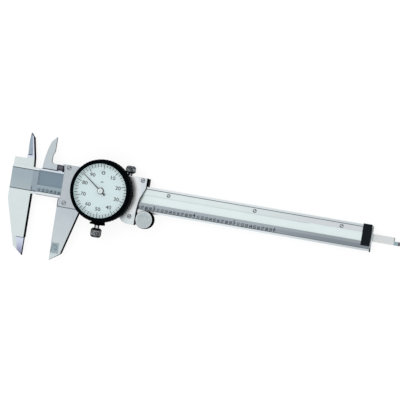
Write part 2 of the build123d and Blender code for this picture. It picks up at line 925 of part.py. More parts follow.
with BuildPart() as roller_arm:
    with BuildSketch(slide_plane(slide_back)):
        with Locations((arm_left + fit_gap, roller_y)):
            Rectangle(roller_x - arm_left - fit_gap, arm_width, align=(Align.MIN, Align.CENTER))
        with Locations((roller_x, roller_y)):
            Circle(arm_width / 2 + arm_eye_margin)
            Circle(axle_radius + fit_gap, mode=Mode.SUBTRACT)
        with Locations(*[(place, roller_y) for place in arm_screw_places]):
            Circle(arm_screw_radius + fit_gap, mode=Mode.SUBTRACT)
    extrude(amount=arm_thickness)
    with BuildSketch(slide_plane(slide_back)):
        with Locations(*[(place, roller_y) for place in arm_screw_places]):
            Circle(arm_screw_head_radius + fit_gap)
    extrude(amount=arm_screw_head_height, mode=Mode.SUBTRACT)
finish(roller_arm, "roller_arm")

slotted_screw(
    "roller_arm_screws",
    back_plane(opening, roller_y, slide_back),
    [(place, 0) for place in arm_screw_places],
    arm_screw_head_radius,
    arm_screw_head_height,
    arm_screw_radius,
    arm_screw_length - arm_screw_head_height,
)

roller_axis = Axis((opening + roller_x, roller_y, 0), (0, 0, 1))
roller_body = roller_radius - knob_knurl_depth

with BuildPart() as roller_axle:
    with BuildSketch(section_plane(opening + roller_x, roller_y)):
        with BuildLine():
            Polyline(
                (0, slide_back),
                (axle_radius, slide_back),
                (axle_radius, arm_plate_top),
                (axle_collar_radius, arm_plate_top),
                (axle_collar_radius, hub_back - turn_clear),
                (axle_radius, hub_back - turn_clear),
                (axle_radius, axle_end - axle_chamfer),
                (axle_radius - axle_chamfer, axle_end),
                (0, axle_end),
                close=True,
            )
        make_face()
    revolve(axis=roller_axis)
finish(roller_axle, "roller_axle")

with BuildPart() as thumb_roller:
    with BuildSketch(Plane(origin=(opening + roller_x, roller_y, roller_back + roller_chamfer))):
        with BuildLine():
            outline = pointed_wheel(roller_knurl_count, roller_body, roller_radius)
            Polyline(*outline, close=True)
        make_face()
    extrude(amount=roller_thickness - 2 * roller_chamfer)
    # chamfered rims and the shallow dish in the face
    with BuildSketch(section_plane(opening + roller_x, roller_y)):
        with BuildLine():
            Polyline(
                (0, roller_back),
                (roller_body - roller_chamfer, roller_back),
                (roller_body, roller_back + roller_chamfer),
                (roller_body, roller_front - roller_chamfer),
                (roller_body - roller_chamfer, roller_front),
                (roller_body - roller_rim_width, roller_front),
                (roller_body - roller_rim_width - roller_dish, roller_front - roller_dish),
                (0, roller_front - roller_dish),
                close=True,
            )
        make_face()
    revolve(axis=roller_axis)
    # hub behind, and the axle's bore
    with BuildSketch(Plane(origin=(opening + roller_x, roller_y, hub_back))):
        Circle(hub_radius)
    extrude(amount=roller_back - hub_back)
    with BuildSketch(Plane(origin=(opening + roller_x, roller_y, hub_back))):
        Circle(axle_radius + turn_clear)
    extrude(amount=axle_end + turn_clear - hub_back, mode=Mode.SUBTRACT)
finish(thumb_roller, "thumb_roller")


def knurled_screw(name, x, z, start, stem_end, knob_end, stem_radius, knob_radius):
    """Knurled screw along Y: a stem from start to stem_end and a knob up to knob_end."""
    axis = Axis((x, 0, z), (0, 1, 0))
    way = 1 if knob_end > stem_end else -1
    core_radius = knob_radius - knob_knurl_depth
    crown_start = knob_end - way * knob_crown
    crown_middle = knob_crown * (1 - math.sqrt(0.5))
    knurl_start = Plane(origin=(x, stem_end + way * knob_chamfer, z), x_dir=(1, 0, 0), z_dir=(0, way, 0))
    with BuildPart() as screw:
        with BuildSketch(knurl_start):
            with BuildLine():
                Polyline(*pointed_wheel(knob_knurl_count, core_radius, knob_radius), close=True)
            make_face()
        extrude(amount=abs(knob_end - stem_end) - knob_chamfer - knob_crown)
        with BuildSketch(Plane(origin=(x, 0, z))):
            with BuildLine():
                ThreePointArc(
                    (core_radius, crown_start),
                    (core_radius - crown_middle, knob_end - way * crown_middle),
                    (core_radius - knob_crown, knob_end),
                )
                Polyline(
                    (core_radius - knob_crown, knob_end),
                    (0, knob_end),
                    (0, stem_end),
                    (core_radius - knob_chamfer, stem_end),
                    (core_radius, stem_end + way * knob_chamfer),
                    (core_radius, crown_start),
                )
            make_face()
        revolve(axis=axis)
        with BuildSketch(Plane(origin=(x, 0, z))):
            with BuildLine():
                Polyline(
                    (0, start),
                    (stem_radius - stem_chamfer, start),
                    (stem_radius, start + way * stem_chamfer),
                    (stem_radius, stem_end + way * knob_chamfer),
                    (0, stem_end + way * knob_chamfer),
                    close=True,
                )
            make_face()
        revolve(axis=axis)
    finish(screw, name)


knurled_screw(
    "lock_screw",
    opening + lock_x,
    lock_z,
    gib_top + turn_clear,
    rail_top + lock_stem_show,
    rail_top + lock_stem_show + lock_knob_length,
    lock_stem_radius,
    lock_knob_radius,
)

# Dial case: a cup on the plate with the arm, block and boss of the bezel clamp

dial_axis = Axis((opening + dial_x, dial_y, 0), (0, 0, 1))
clamp_boss_end = dial_y - clamp_outer - clamp_boss_length

with BuildPart() as dial_case:
    with BuildSketch(dial_plane(plate_top)):
        Circle(case_radius)
        with Locations((0, -case_bore)):
            Rectangle(clamp_width, clamp_outer - case_bore, align=(Align.CENTER, Align.MAX))
    extrude(amount=bezel_lift - clamp_arm_gap)
    with BuildSketch(dial_plane(plate_top)):
        Circle(case_radius)
    extrude(amount=case_height)
    with BuildSketch(dial_plane(case_inside)):
        Circle(case_bore)
    extrude(amount=case_height, mode=Mode.SUBTRACT)
    # upright block and round boss for the clamp screw
    with BuildSketch(dial_plane(clamp_axis_z - clamp_height / 2)):
        with Locations((0, -clamp_inner)):
            Rectangle(clamp_width, clamp_depth, align=(Align.CENTER, Align.MAX))
    extrude(amount=clamp_height)
    boss_plane = Plane(origin=(opening + dial_x, clamp_boss_end, clamp_axis_z), z_dir=(0, 1, 0))
    with BuildSketch(boss_plane):
        Circle(clamp_boss_radius)
    extrude(amount=clamp_boss_length)
    with BuildSketch(boss_plane):
        Circle(clamp_stem_radius + turn_clear)
    extrude(amount=clamp_boss_length + clamp_depth + clamp_gap, mode=Mode.SUBTRACT)
    # groove for the bezel's wire
    with BuildSketch(section_plane(opening + dial_x, dial_y)):
        with Locations((case_radius - wire_depth, wire_bottom - turn_clear)):
            Rectangle(2 * wire_depth, wire_height + 2 * turn_clear, align=Align.MIN)
    revolve(axis=dial_axis, mode=Mode.SUBTRACT)
    # bores for the arbors, holes for the screws
    with Locations(slide_plane(case_inside)), Locations((arbor_x, dial_y)):
        Hole(radius=arbor_radius + turn_clear, depth=case_floor)
    with Locations(dial_plane(case_inside)):
        Hole(radius=centre_arbor_radius + turn_clear, depth=case_floor)
        with PolarLocations(case_screw_circle, case_screw_count, start_angle=case_screw_start):
            Hole(radius=movement_screw_radius + fit_gap, depth=case_floor)
finish(dial_case, "dial_case")

knurled_screw(
    "bezel_clamp_screw",
    opening + dial_x,
    clamp_axis_z,
    dial_y - bezel_radius - clamp_tip_gap,
    clamp_boss_end - clamp_stem_show,
    clamp_boss_end - clamp_stem_show - clamp_knob_length,
    clamp_stem_radius,
    clamp_knob_radius,
)

case_screw_places = [
    polar(case_screw_circle, math.radians(case_screw_start + 360 * number / case_screw_count))
    for number in range(case_screw_count)
]
slotted_screw(
    "case_screws",
    dial_plane(case_inside + movement_screw_head_height),
    case_screw_places,
    movement_screw_head_radius,
    movement_screw_head_height,
    movement_screw_radius,
    case_floor + plate_thickness - case_screw_skin - end_play,
)

# Movement: pillars, bridge, and the two arbors with their wheels

bridge_bottom = case_inside + bridge_lift
bridge_top = bridge_bottom + bridge_thickness
pillar_places = [
    polar(pillar_circle, math.radians(pillar_angle)),
    polar(pillar_circle, -math.radians(pillar_angle)),
    (third_pillar_x, 0),
]

with BuildPart() as bridge_pillars:
    with BuildSketch(dial_plane(case_inside)):
        with Locations(*pillar_places):
            Circle(pillar_radius)
    extrude(amount=bridge_lift)
    with BuildSketch(dial_plane(bridge_bottom)):
        with Locations(*pillar_places):
            Circle(movement_screw_radius + fit_gap)
    extrude(amount=-bridge_lift / 2, mode=Mode.SUBTRACT)
finish(bridge_pillars, "bridge_pillars")

with BuildPart() as movement_bridge:
    with BuildSketch(dial_plane(bridge_bottom)):
        with Locations(*pillar_places):
            Circle(pillar_radius + bridge_margin)
        make_hull()
        with Locations(*pillar_places):
            Circle(movement_screw_radius + fit_gap, mode=Mode.SUBTRACT)
        Circle(centre_arbor_radius + turn_clear, mode=Mode.SUBTRACT)
        with Locations((-wheel_distance, 0)):
            Circle(pivot_radius + turn_clear, mode=Mode.SUBTRACT)
    extrude(amount=bridge_thickness)
finish(movement_bridge, "movement_bridge")

slotted_screw(
    "bridge_screws",
    dial_plane(bridge_top + movement_screw_head_height),
    pillar_places,
    movement_screw_head_radius,
    movement_screw_head_height,
    movement_screw_radius,
    bridge_thickness + bridge_lift / 2 - fit_gap,
)

wheel_bottom = case_inside + wheel_lift
wheel_radius = wheel_module * wheel_teeth / 2
tooth_reach = point_height * wheel_module
take_up_bottom = wheel_bottom + wheel_thickness + wheel_spacing
spring_bottom = take_up_bottom + wheel_thickness
pinion_bottom = channel_floor + end_play
shoulder = bridge_bottom - end_play


def arbor_plane(z):
    """Plane at height z with its origin on the transfer arbor's axis."""
    return Plane(origin=(opening + arbor_x, dial_y, z))


with BuildPart() as transfer_arbor:
    with BuildSketch(arbor_plane(pinion_bottom)):
        with BuildLine():
            Polyline(*pinion_outline(rack_pinion_teeth, rack_module, math.pi / 2), close=True)
        make_face()
    extrude(amount=slide_front - end_play - pinion_bottom)
    with BuildSketch(section_plane(opening + arbor_x, dial_y)):
        with BuildLine():
            Polyline(
                (0, pinion_bottom),
                (arbor_radius, pinion_bottom),
                (arbor_radius, shoulder),
                (pivot_radius, shoulder),
                (pivot_radius, bridge_top),
                (0, bridge_top),
                close=True,
            )
        make_face()
    revolve(axis=Axis((opening + arbor_x, dial_y, 0), (0, 0, 1)))
finish(transfer_arbor, "transfer_arbor")


def geared_wheel(name, bottom):
    """Wheel with pointed teeth, pressed on the transfer arbor."""
    with BuildPart() as wheel:
        with BuildSketch(arbor_plane(bottom)):
            with BuildLine():
                outline = pointed_wheel(wheel_teeth, wheel_radius - tooth_reach, wheel_radius + tooth_reach)
                Polyline(*outline, close=True)
            make_face()
            Circle(arbor_radius + press_gap, mode=Mode.SUBTRACT)
        extrude(amount=wheel_thickness)
    finish(wheel, name)


geared_wheel("transfer_wheel", wheel_bottom)
geared_wheel("take_up_wheel", take_up_bottom)


def flat_ring(name, plane, thickness, outer, inner=0.0, split=0.0):
    """Flat disc or ring on the plane, cut open at its right where split is given."""
    with BuildPart() as ring:
        with BuildSketch(plane):
            Circle(outer)
            if inner:
                Circle(inner, mode=Mode.SUBTRACT)
            if split:
                with Locations((outer, 0)):
                    Rectangle(outer, split, mode=Mode.SUBTRACT)
        extrude(amount=thickness)
    finish(ring, name)


# C-shaped spring on the take-up wheel, which takes the play out of the teeth
flat_ring(
    "take_up_spring",
    arbor_plane(spring_bottom),
    spring_thickness,
    spring_radius,
    spring_radius - spring_width,
    spring_split,
)

centre_gap = math.pi - math.pi / centre_pinion_teeth

with BuildPart() as centre_pinion:
    with BuildSketch(dial_plane(wheel_bottom - end_play)):
        with BuildLine():
            Polyline(*pinion_outline(centre_pinion_teeth, wheel_module, centre_gap), close=True)
        make_face()
    extrude(amount=2 * wheel_thickness + wheel_spacing + 2 * end_play)
    with BuildSketch(dial_plane(plate_top + run_clear)):
        Circle(centre_arbor_radius)
    extrude(amount=cap_top - hand_cap_skin - plate_top - run_clear)
finish(centre_pinion, "centre_pinion")

# Hand: it points where the opening puts it, one turn for each tenth of an inch

hand_turn = -360 * (opening / (inch / 10) % 1)
hand_plane = Plane(
    origin=(opening + dial_x, dial_y, hand_bottom),
    x_dir=Vector(0, 1, 0).rotate(Axis.Z, hand_turn),
    z_dir=(0, 0, 1),
)
with BuildPart() as hand:
    with BuildSketch(hand_plane):
        with BuildLine():
            Polyline(
                (-hand_tail, -hand_tail_width / 2),
                (0, -hand_width / 2),
                (hand_length - hand_tip_width, -hand_tip_width / 2),
                (hand_length, 0),
                (hand_length - hand_tip_width, hand_tip_width / 2),
                (0, hand_width / 2),
                (-hand_tail, hand_tail_width / 2),
                close=True,
            )
        make_face()
        Circle(hand_boss_radius)
        Circle(centre_arbor_radius + press_gap, mode=Mode.SUBTRACT)
    extrude(amount=hand_thickness)
finish(hand, "hand")

with BuildPart() as hand_cap:
    with BuildSketch(dial_plane(hand_top)):
        Circle(hand_cap_radius)
    extrude(amount=hand_cap_height)
    chamfer(hand_cap.faces().sort_by(Axis.Z)[-1].edges(), length=hand_cap_chamfer)
    with BuildSketch(dial_plane(hand_top)):
        Circle(centre_arbor_radius + press_gap)
    extrude(amount=hand_cap_height - hand_cap_skin, mode=Mode.SUBTRACT)
finish(hand_cap, "hand_cap")

# Bezel and what turns with it

with BuildPart() as bezel:
    with BuildSketch(dial_plane(bezel_bottom + knurl_start)):
        with BuildLine():
            Polyline(*pointed_wheel(bezel_knurl_count, body_radius, bezel_radius), close=True)
        make_face()
    extrude(amount=bezel_top - knurl_end - bezel_bottom - knurl_start)
    with BuildSketch(section_plane(opening + dial_x, dial_y)):
        with BuildLine():
            Polyline(
                (0, bezel_bottom),
                (body_radius - bezel_foot_chamfer, bezel_bottom),
                (body_radius, bezel_bottom + bezel_foot_chamfer),
                (body_radius, bezel_top - bezel_slope_height),
                (body_radius - bezel_slope_middle, bezel_top - bezel_slope_middle),
                (body_radius - bezel_slope_width, bezel_top),
                (window_radius + lip_chamfer_width, bezel_top),
                (window_radius, bezel_top - lip_chamfer),
                (0, bezel_top - lip_chamfer),
                close=True,
            )
        make_face()
    revolve(axis=dial_axis)
    # bore over the case, the wire's groove, the seat for dial and crystal, and the window
    with BuildSketch(section_plane(opening + dial_x, dial_y)):
        with BuildLine():
            Polyline(
                (0, bezel_bottom),
                (bezel_bore, bezel_bottom),
                (bezel_bore, wire_bottom),
                (wire_outer, wire_bottom),
                (wire_outer, wire_bottom + wire_height),
                (bezel_bore, wire_bottom + wire_height),
                (bezel_bore, snap_bottom),
                (seat_radius, snap_bottom),
                (seat_radius, crystal_top),
                (window_radius, crystal_top),
                (window_radius, bezel_top),
                (0, bezel_top),
                close=True,
            )
        make_face()
    revolve(axis=dial_axis, mode=Mode.SUBTRACT)
finish(bezel, "bezel")

flat_ring("bezel_wire", dial_plane(wire_bottom), wire_height, wire_outer - fit_gap, wire_inner, ring_split)
flat_ring(
    "dial_snap_ring",
    dial_plane(snap_bottom),
    snap_ring_thickness,
    disc_radius,
    disc_radius - snap_ring_width,
    ring_split,
)
flat_ring("dial_plate", dial_plane(dial_bottom), dial_thickness, disc_radius, dial_hole_radius)
flat_ring("dial_spacer", dial_plane(dial_top), dial_room, disc_radius, disc_radius - spacer_width)
flat_ring("crystal", dial_plane(crystal_bottom), crystal_thickness, disc_radius)
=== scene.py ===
# %% [markdown]
# # A dial caliper, dressed around its measured model
# A dial caliper is a steel bar with two fixed jaws and a slide with two moving ones. A rack in
# the bar turns a gear train in the slide, and the hand on the dial shows hundredths of a turn.
# Every solid of the tool is already modelled at its real size. This script loads those solids,
# gives each one the finish of the real piece, and adds what is too fine for a solid model: the
# print on the dial, the scale on the bar, and the crossed knurls on the screws and the roller.
# The model lies on its back, with X along the bar and Z up, out of the dial.

# %% Load the measured model
import math

import bmesh
import bpy
import numpy as np
from mathutils import Matrix, Vector


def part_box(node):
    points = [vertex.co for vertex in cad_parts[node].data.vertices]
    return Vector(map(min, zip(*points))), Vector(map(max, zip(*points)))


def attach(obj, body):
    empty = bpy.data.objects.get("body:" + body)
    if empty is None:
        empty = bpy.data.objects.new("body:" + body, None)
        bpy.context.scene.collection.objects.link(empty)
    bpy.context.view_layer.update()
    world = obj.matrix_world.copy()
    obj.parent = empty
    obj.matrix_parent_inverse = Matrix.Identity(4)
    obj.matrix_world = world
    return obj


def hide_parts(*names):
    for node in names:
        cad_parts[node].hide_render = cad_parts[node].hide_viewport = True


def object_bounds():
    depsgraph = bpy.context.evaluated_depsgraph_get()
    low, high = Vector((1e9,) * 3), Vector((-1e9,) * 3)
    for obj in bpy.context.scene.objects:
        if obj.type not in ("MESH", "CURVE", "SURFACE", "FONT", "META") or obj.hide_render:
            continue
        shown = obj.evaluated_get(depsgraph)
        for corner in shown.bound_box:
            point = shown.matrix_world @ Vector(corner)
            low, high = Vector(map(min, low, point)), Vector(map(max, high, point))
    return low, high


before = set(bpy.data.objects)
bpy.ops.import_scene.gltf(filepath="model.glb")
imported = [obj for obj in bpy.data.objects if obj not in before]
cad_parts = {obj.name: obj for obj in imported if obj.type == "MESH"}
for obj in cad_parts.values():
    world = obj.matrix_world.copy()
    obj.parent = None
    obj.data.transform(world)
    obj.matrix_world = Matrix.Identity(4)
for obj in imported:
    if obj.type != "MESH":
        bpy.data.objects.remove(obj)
cad_low, cad_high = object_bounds()
print("measured model:", len(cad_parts), "solids, size in mm:",
      [round(1000 * side, 1) for side in cad_high - cad_low])

# %% [markdown]
# ## Lengths
# Blender works in metres and a caliper is drawn in millimetres. One helper turns a length in
# millimetres into metres, so that the numbers below can be read as on a drawing. The sizes that
# the print has to fit are read from the solids, where a solid shows them.

# %% Lengths of the tool
MM = 0.001


def box_mm(node):
    """Lowest and highest corner of a solid, in millimetres."""
    low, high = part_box(node)
    return np.array(low) / MM, np.array(high) / MM


bar_half_width = 8.0
channel_left, channel_bottom, channel_top = 3.0, -2.0, 6.4
band_top_z, band_bottom = 3.58, -6.3
field_edge, bevel_start = 6.3, 14.8
jaw_opening = 17.4
dial_low, dial_high = box_mm("dial_plate")
dial_centre = (dial_low + dial_high)[:2] / 2
dial_axis = tuple(map(float, dial_centre))
dial_face_z = dial_high[2]
print("dial centre:", dial_centre, "face at", round(float(dial_face_z), 2))

# %% [markdown]
# ## Camera
# The photograph looks down on the caliper from a little to the right, so that the sides that
# face right show as thin dark lines. It is a product picture from far away: lines that run
# side by side on the tool stay so in the picture. A long lens from more than three metres
# gives that. The bar slopes down to the right by nearly ten degrees, which is a roll of the
# camera and not of the tool. The tilt leans the camera to the right and, by the small lean
# angle, towards the inside jaws. The camera is placed by one point on the bar whose place in
# the 400 pixel picture is known.

# %% Camera
PICTURE = 400
pixels_per_mm = 1.657
tilt = math.radians(15)
lean = math.radians(8)
roll = math.radians(9.27)
camera_distance = 3200.0
aim_point = Vector((105, 0, 3.7))
aim_pixel = (197.23, 208.9)

back = Vector((math.sin(tilt) * math.cos(lean), math.sin(tilt) * math.sin(lean), math.cos(tilt)))
level_up = (Vector((0, 1, 0)) - back * back.y).normalized()
level_right = level_up.cross(back)
right = math.cos(roll) * level_right + math.sin(roll) * level_up
up = math.cos(roll) * level_up - math.sin(roll) * level_right
off_centre = ((aim_pixel[0] - PICTURE / 2) / pixels_per_mm, (PICTURE / 2 - aim_pixel[1]) / pixels_per_mm)
picture_centre = aim_point - off_centre[0] * right - off_centre[1] * up

lens = bpy.data.cameras.new("camera")
lens.sensor_width = 36
lens.lens = lens.sensor_width * camera_distance * pixels_per_mm / PICTURE
lens.clip_start, lens.clip_end = 0.1, 20
camera = bpy.data.objects.new("camera", lens)
camera.matrix_world = Matrix((
    (right.x, up.x, back.x, 0),
    (right.y, up.y, back.y, 0),
    (right.z, up.z, back.z, 0),
    (0, 0, 0, 1),
))
camera.location = (picture_centre + camera_distance * back) * MM
bpy.context.scene.collection.objects.link(camera)
bpy.context.scene.camera = camera
bpy.context.scene.view_settings.view_transform = "Standard"
print("lens:", round(lens.lens), "mm, from", camera_distance / 1000, "m")

# %% [markdown]
# ## Writing materials as formulas
# A material is a graph of nodes, and a long graph is hard to read in code. A formula is not.
# The class below stands for one number that varies over a surface. It overloads plus, minus
# and times, so that `1 - mask * 0.5` adds the Math nodes by itself. Most masks are a smooth
# step: 0 below an edge, 1 above it, and a soft change as wide as the blur says.

# %% A value that varies over a surface
def find(sockets, key):
    """A socket by its number, its identifier or its name."""
    if isinstance(key, int):
        return sockets[key]
    for socket in sockets:
        if socket.identifier == key:
            return socket
    return sockets[key]


class Signal:
    """A value that varies over a surface: an output socket that can be used in a formula."""

    def __init__(self, recipe, socket):
        self.recipe = recipe
        self.socket = socket

    def math(self, operation, *values):
        return self.recipe.node("ShaderNodeMath", {"operation": operation}, dict(enumerate(values)))

    def __add__(self, other):
        return self.math("ADD", self, other)

    def __sub__(self, other):
        return self.math("SUBTRACT", self, other)

    def __mul__(self, other):
        return self.math("MULTIPLY", self, other)

    def __rsub__(self, other):
        return self.math("SUBTRACT", other, self)

    __radd__ = __add__
    __rmul__ = __mul__

    def __abs__(self):
        return self.math("ABSOLUTE", self)

    def root(self):
        return self.math("SQRT", self)

    def above(self, edge, blur):
        """0 below the edge and 1 above it, with a smooth step as wide as twice the blur."""
        settings = {"interpolation_type": "SMOOTHSTEP"}
        sockets = {"Value": self, "From Min": edge - blur, "From Max": edge + blur}
        return self.recipe.node("ShaderNodeMapRange", settings, sockets)

    def below(self, edge, blur):
        return 1 - self.above(edge, blur)

    def between(self, low, high, blur):
        return self.above(low, blur) * self.below(high, blur)


print("a signal knows:", [name for name in vars(Signal) if not name.startswith("_")])

# %% [markdown]
# ## A material as a recipe
# One method makes the nodes: it takes a node's type, its settings, and the values or links of
# its sockets. The others are what most finishes need: the place of a surface point and the
# direction that it faces, a cloudy noise, blends of colours, a bump and the shaders. Colours
# go through a Mix node, because a Math node would turn them grey.

# %% Recipes for materials
class Recipe:
    """A material that is being mixed: its node tree, and the signals that most finishes read."""

    def __init__(self, name, owner=None):
        self.owner = owner or bpy.data.materials.new(name)
        self.owner.use_nodes = True
        self.tree = self.owner.node_tree
        self.tree.nodes.clear()

    def node(self, kind, settings=None, sockets=None, output=0):
        """Adds a node: its settings first, then the values or links of its sockets."""
        made = self.tree.nodes.new(kind)
        for name, value in (settings or {}).items():
            setattr(made, name, value)
        for key, value in (sockets or {}).items():
            socket = find(made.inputs, key)
            if isinstance(value, Signal):
                self.tree.links.new(value.socket, socket)
            else:
                socket.default_value = value
        return Signal(self, find(made.outputs, output))

    def place(self):
        """Where a surface point lies on the tool: three signals in millimetres."""
        spot = self.node("ShaderNodeTexCoord", output="Object")
        axes = [self.node("ShaderNodeSeparateXYZ", sockets={0: spot}, output=axis) for axis in "XYZ"]
        return [axis * 1000 for axis in axes]

    def facing(self):
        """The direction that a surface faces, as three signals from -1 to 1."""
        normal = self.node("ShaderNodeTexCoord", output="Normal")
        return [self.node("ShaderNodeSeparateXYZ", sockets={0: normal}, output=axis) for axis in "XYZ"]

    def noise(self, size, detail=2.0):
        """Cloudy noise from 0 to 1 whose blobs are as large as the size (x, y, z), in mm."""
        spot = self.node("ShaderNodeTexCoord", output="Object")
        scale = [1 / (MM * side) for side in size]
        stretched = self.node("ShaderNodeMapping", sockets={"Vector": spot, "Scale": scale})
        sockets = {"Vector": stretched, "Scale": 1.0, "Detail": detail}
        return self.node("ShaderNodeTexNoise", sockets=sockets)

    def blend(self, factor, first, second):
        """A colour between two: the first where the factor is 0, the second where it is 1."""
        sockets = {"Factor_Float": factor, "A_Color": first, "B_Color": second}
        return self.node("ShaderNodeMix", {"data_type": "RGBA"}, sockets, "Result_Color")

    def shade(self, colour, light):
        """A colour made lighter or darker by a signal around 1."""
        settings = {"data_type": "RGBA", "blend_type": "MULTIPLY"}
        sockets = {"Factor_Float": 1.0, "A_Color": colour, "B_Color": light}
        return self.node("ShaderNodeMix", settings, sockets, "Result_Color")

    def bump(self, height, depth):
        """A normal that is tilted as if the surface rose by the depth, in mm, where height is 1."""
        return self.node("ShaderNodeBump", sockets={"Height": height, "Distance": depth * MM})

    def surface(self, **sockets):
        """A Principled shader; underscores in the names of its sockets stand for spaces."""
        return self.node("ShaderNodeBsdfPrincipled", sockets={
            name.replace("_", " "): value for name, value in sockets.items()
        })

    def either(self, factor, first, second):
        """A shader between two shaders."""
        return self.node("ShaderNodeMixShader", sockets={0: factor, 1: first, 2: second})

    def finish(self, shader):
        in_sky = isinstance(self.owner, bpy.types.World)
        end = self.tree.nodes.new("ShaderNodeOutputWorld" if in_sky else "ShaderNodeOutputMaterial")
        self.tree.links.new(shader.socket, end.inputs["Surface"])
        return self.owner


def screen(red, green, blue):
    """A colour as a picture stores it, from 0 to 255, turned into the light that it stands for."""
    shares = np.array((red, green, blue)) / 255
    light = np.where(shares <= 0.04045, shares / 12.92, ((shares + 0.055) / 1.055) ** 2.4)
    return (*map(float, light), 1.0)


print("a mid grey of 128 is", round(screen(128, 128, 128)[0], 3), "of the light of white")

# %% [markdown]
# ## Floor and light
# The tool lies on a plain white floor. So that the picture's ground is white without more
# light on the tool, the floor and the sky show a brightness near one to the camera, to mirrors
# and to glass, and less to everything else. A quarter of the floor stays an ordinary matt
# surface, and this quarter takes the shadow. One large soft lamp from the upper left and a
# weaker one from the front model the shapes, as a photographer's tent does.

# %% Floor, sky and lamps
def seen_directly(recipe):
    """1 for a ray from the camera, from a mirror or through glass, and 0 for any other ray."""
    kinds = ("Is Camera Ray", "Is Glossy Ray", "Is Transmission Ray")
    camera_ray, glossy_ray, glass_ray = [recipe.node("ShaderNodeLightPath", output=kind) for kind in kinds]
    total = camera_ray + glossy_ray + glass_ray
    return total.math("MINIMUM", total, 1.0)


matt_share, floor_glow = 0.25, 1.1
ground = Recipe("white_floor")
matt = ground.node("ShaderNodeBsdfDiffuse", sockets={"Color": (0.9, 0.9, 0.9, 1)})
glow = ground.node("ShaderNodeEmission", sockets={"Color": (1, 1, 1, 1), "Strength": floor_glow})
glow_factor = seen_directly(ground) * (1 - matt_share)
ground_finish = ground.finish(ground.either(glow_factor, matt, glow))

floor_size, floor_gap = 6.0, 0.02 * MM
floor_mesh = bpy.data.meshes.new("floor")
corner = floor_size / 2
floor_z = cad_low.z - floor_gap
corners = [(-corner, -corner), (corner, -corner), (corner, corner), (-corner, corner)]
floor_mesh.from_pydata([(x, y, floor_z) for x, y in corners], [], [(0, 1, 2, 3)])
floor_mesh.materials.append(ground_finish)
floor = bpy.data.objects.new("floor", floor_mesh)
bpy.context.scene.collection.objects.link(floor)

sky_light, sky_seen = 0.79, 1.0
sky = Recipe("sky", bpy.data.worlds.new("sky"))
dim = sky.node("ShaderNodeBackground", sockets={"Color": (1, 1, 1, 1), "Strength": sky_light})
bright = sky.node("ShaderNodeBackground", sockets={"Color": (1, 1, 1, 1), "Strength": sky_seen})
bpy.context.scene.world = sky.finish(sky.either(seen_directly(sky), dim, bright))


def soft_lamp(name, place, size, power):
    """A square lamp at the place, in metres, that points at the middle of the tool."""
    lamp = bpy.data.lights.new(name, "AREA")
    lamp.size, lamp.energy = size, power
    holder = bpy.data.objects.new(name, lamp)
    middle = (cad_low + cad_high) / 2
    holder.location = place
    holder.rotation_euler = (Vector(place) - middle).to_track_quat("Z", "Y").to_euler()
    bpy.context.scene.collection.objects.link(holder)


soft_lamp("key_lamp", place=(-0.75, 0.75, 1.1), size=1.4, power=4.5)
soft_lamp("front_lamp", place=(0.2, -1.1, 0.9), size=0.8, power=2.0)
print("floor at", round(1000 * floor_z, 2), "mm; lamps:", [lamp.name for lamp in bpy.data.lights])

# %% [markdown]
# ## Steel
# The jaws, the bar and the plate are satin chromed steel. Steel is a mirror with a rough
# surface: its colour is the colour of its reflection, and fine grinding marks spread it. So
# the shader is fully metallic, and two noises, one stretched along the grinding direction and
# one cloudy, vary its colour, its roughness and its height by a little. The photograph shows
# the walls that look towards the rod's end as dark lines. That is its light and not the colour
# of steel, but the lamps here don't give it, so a black shader is painted on those walls. A
# paint function lays out the colours of a piece by its places in millimetres.

# %% Steel
# black of the painted shade on walls that face right and on the strips beside them
BLACK_EDGE = screen(5, 6, 8)
grain_contrast, grain_depth, roughness_spread = 0.08, 0.004, 0.1


def faces_right(recipe, x, y, z):
    """1 on a wall that looks towards the rod's end, and 0 on faces that look up or down."""
    nx, _, nz = recipe.facing()
    upright, turned_right = abs(nz).below(0.45, 0.2), nx.above(0.35, 0.15)
    return upright * turned_right


def away_from(axes, x, y):
    """Distance in mm from the nearest of the upright axes: the least of the square roots."""
    nearest = None
    for axis_x, axis_y in axes:
        dx, dy = x - axis_x, y - axis_y
        distance = (dx * dx + dy * dy).root()
        nearest = distance if nearest is None else distance.math("MINIMUM", nearest, distance)
    return nearest


def steel(name, paint, grain=(12, 0.25, 0.25), roughness=0.32, mottle=0.06, dark=faces_right):
    """Satin steel. The paint is a colour, or a function of the recipe and x, y, z in mm.

    The dark function gives the places where black is painted on the steel as shade, and may be None.
    """
    recipe = Recipe(name)
    x, y, z = recipe.place()
    colour = paint(recipe, x, y, z) if callable(paint) else paint
    streaks = recipe.noise(grain, 3.0)
    clouds = recipe.noise((7, 7, 7), 3.0)
    darkest = 1 - (grain_contrast + mottle) / 2
    bright = recipe.surface(
        Base_Color=recipe.shade(colour, darkest + streaks * grain_contrast + clouds * mottle),
        Metallic=1.0,
        Roughness=roughness - roughness_spread / 2 + streaks * roughness_spread,
        Normal=recipe.bump(streaks, grain_depth),
    )
    if dark is None:
        return recipe.finish(bright)
    # black painted as shade where the dark function says
    painted_shade_black = recipe.surface(
        Base_Color=recipe.shade(BLACK_EDGE, 0.7 + streaks * 0.6),
        Roughness=0.6,
        Specular_IOR_Level=0.001,
    )
    return recipe.finish(recipe.either(dark(recipe, x, y, z), bright, painted_shade_black))


print("steel varies in brightness by", grain_contrast, "and in roughness by", roughness_spread)

# %% [markdown]
# ## Colours of the bar
# The bar's front has four long stripes: a narrow land, the channel that holds the rack, the
# sunk band with the scale, and a lip at the lower edge. Each is a range of Y. The photograph
# shows them bluish between the jaws and bright past the slide, so each has two or three
# colours along X. This is a reflection painted on: it stays where it is when the slide or a
# lamp moves. The thin lines where two faces meet are painted as well.

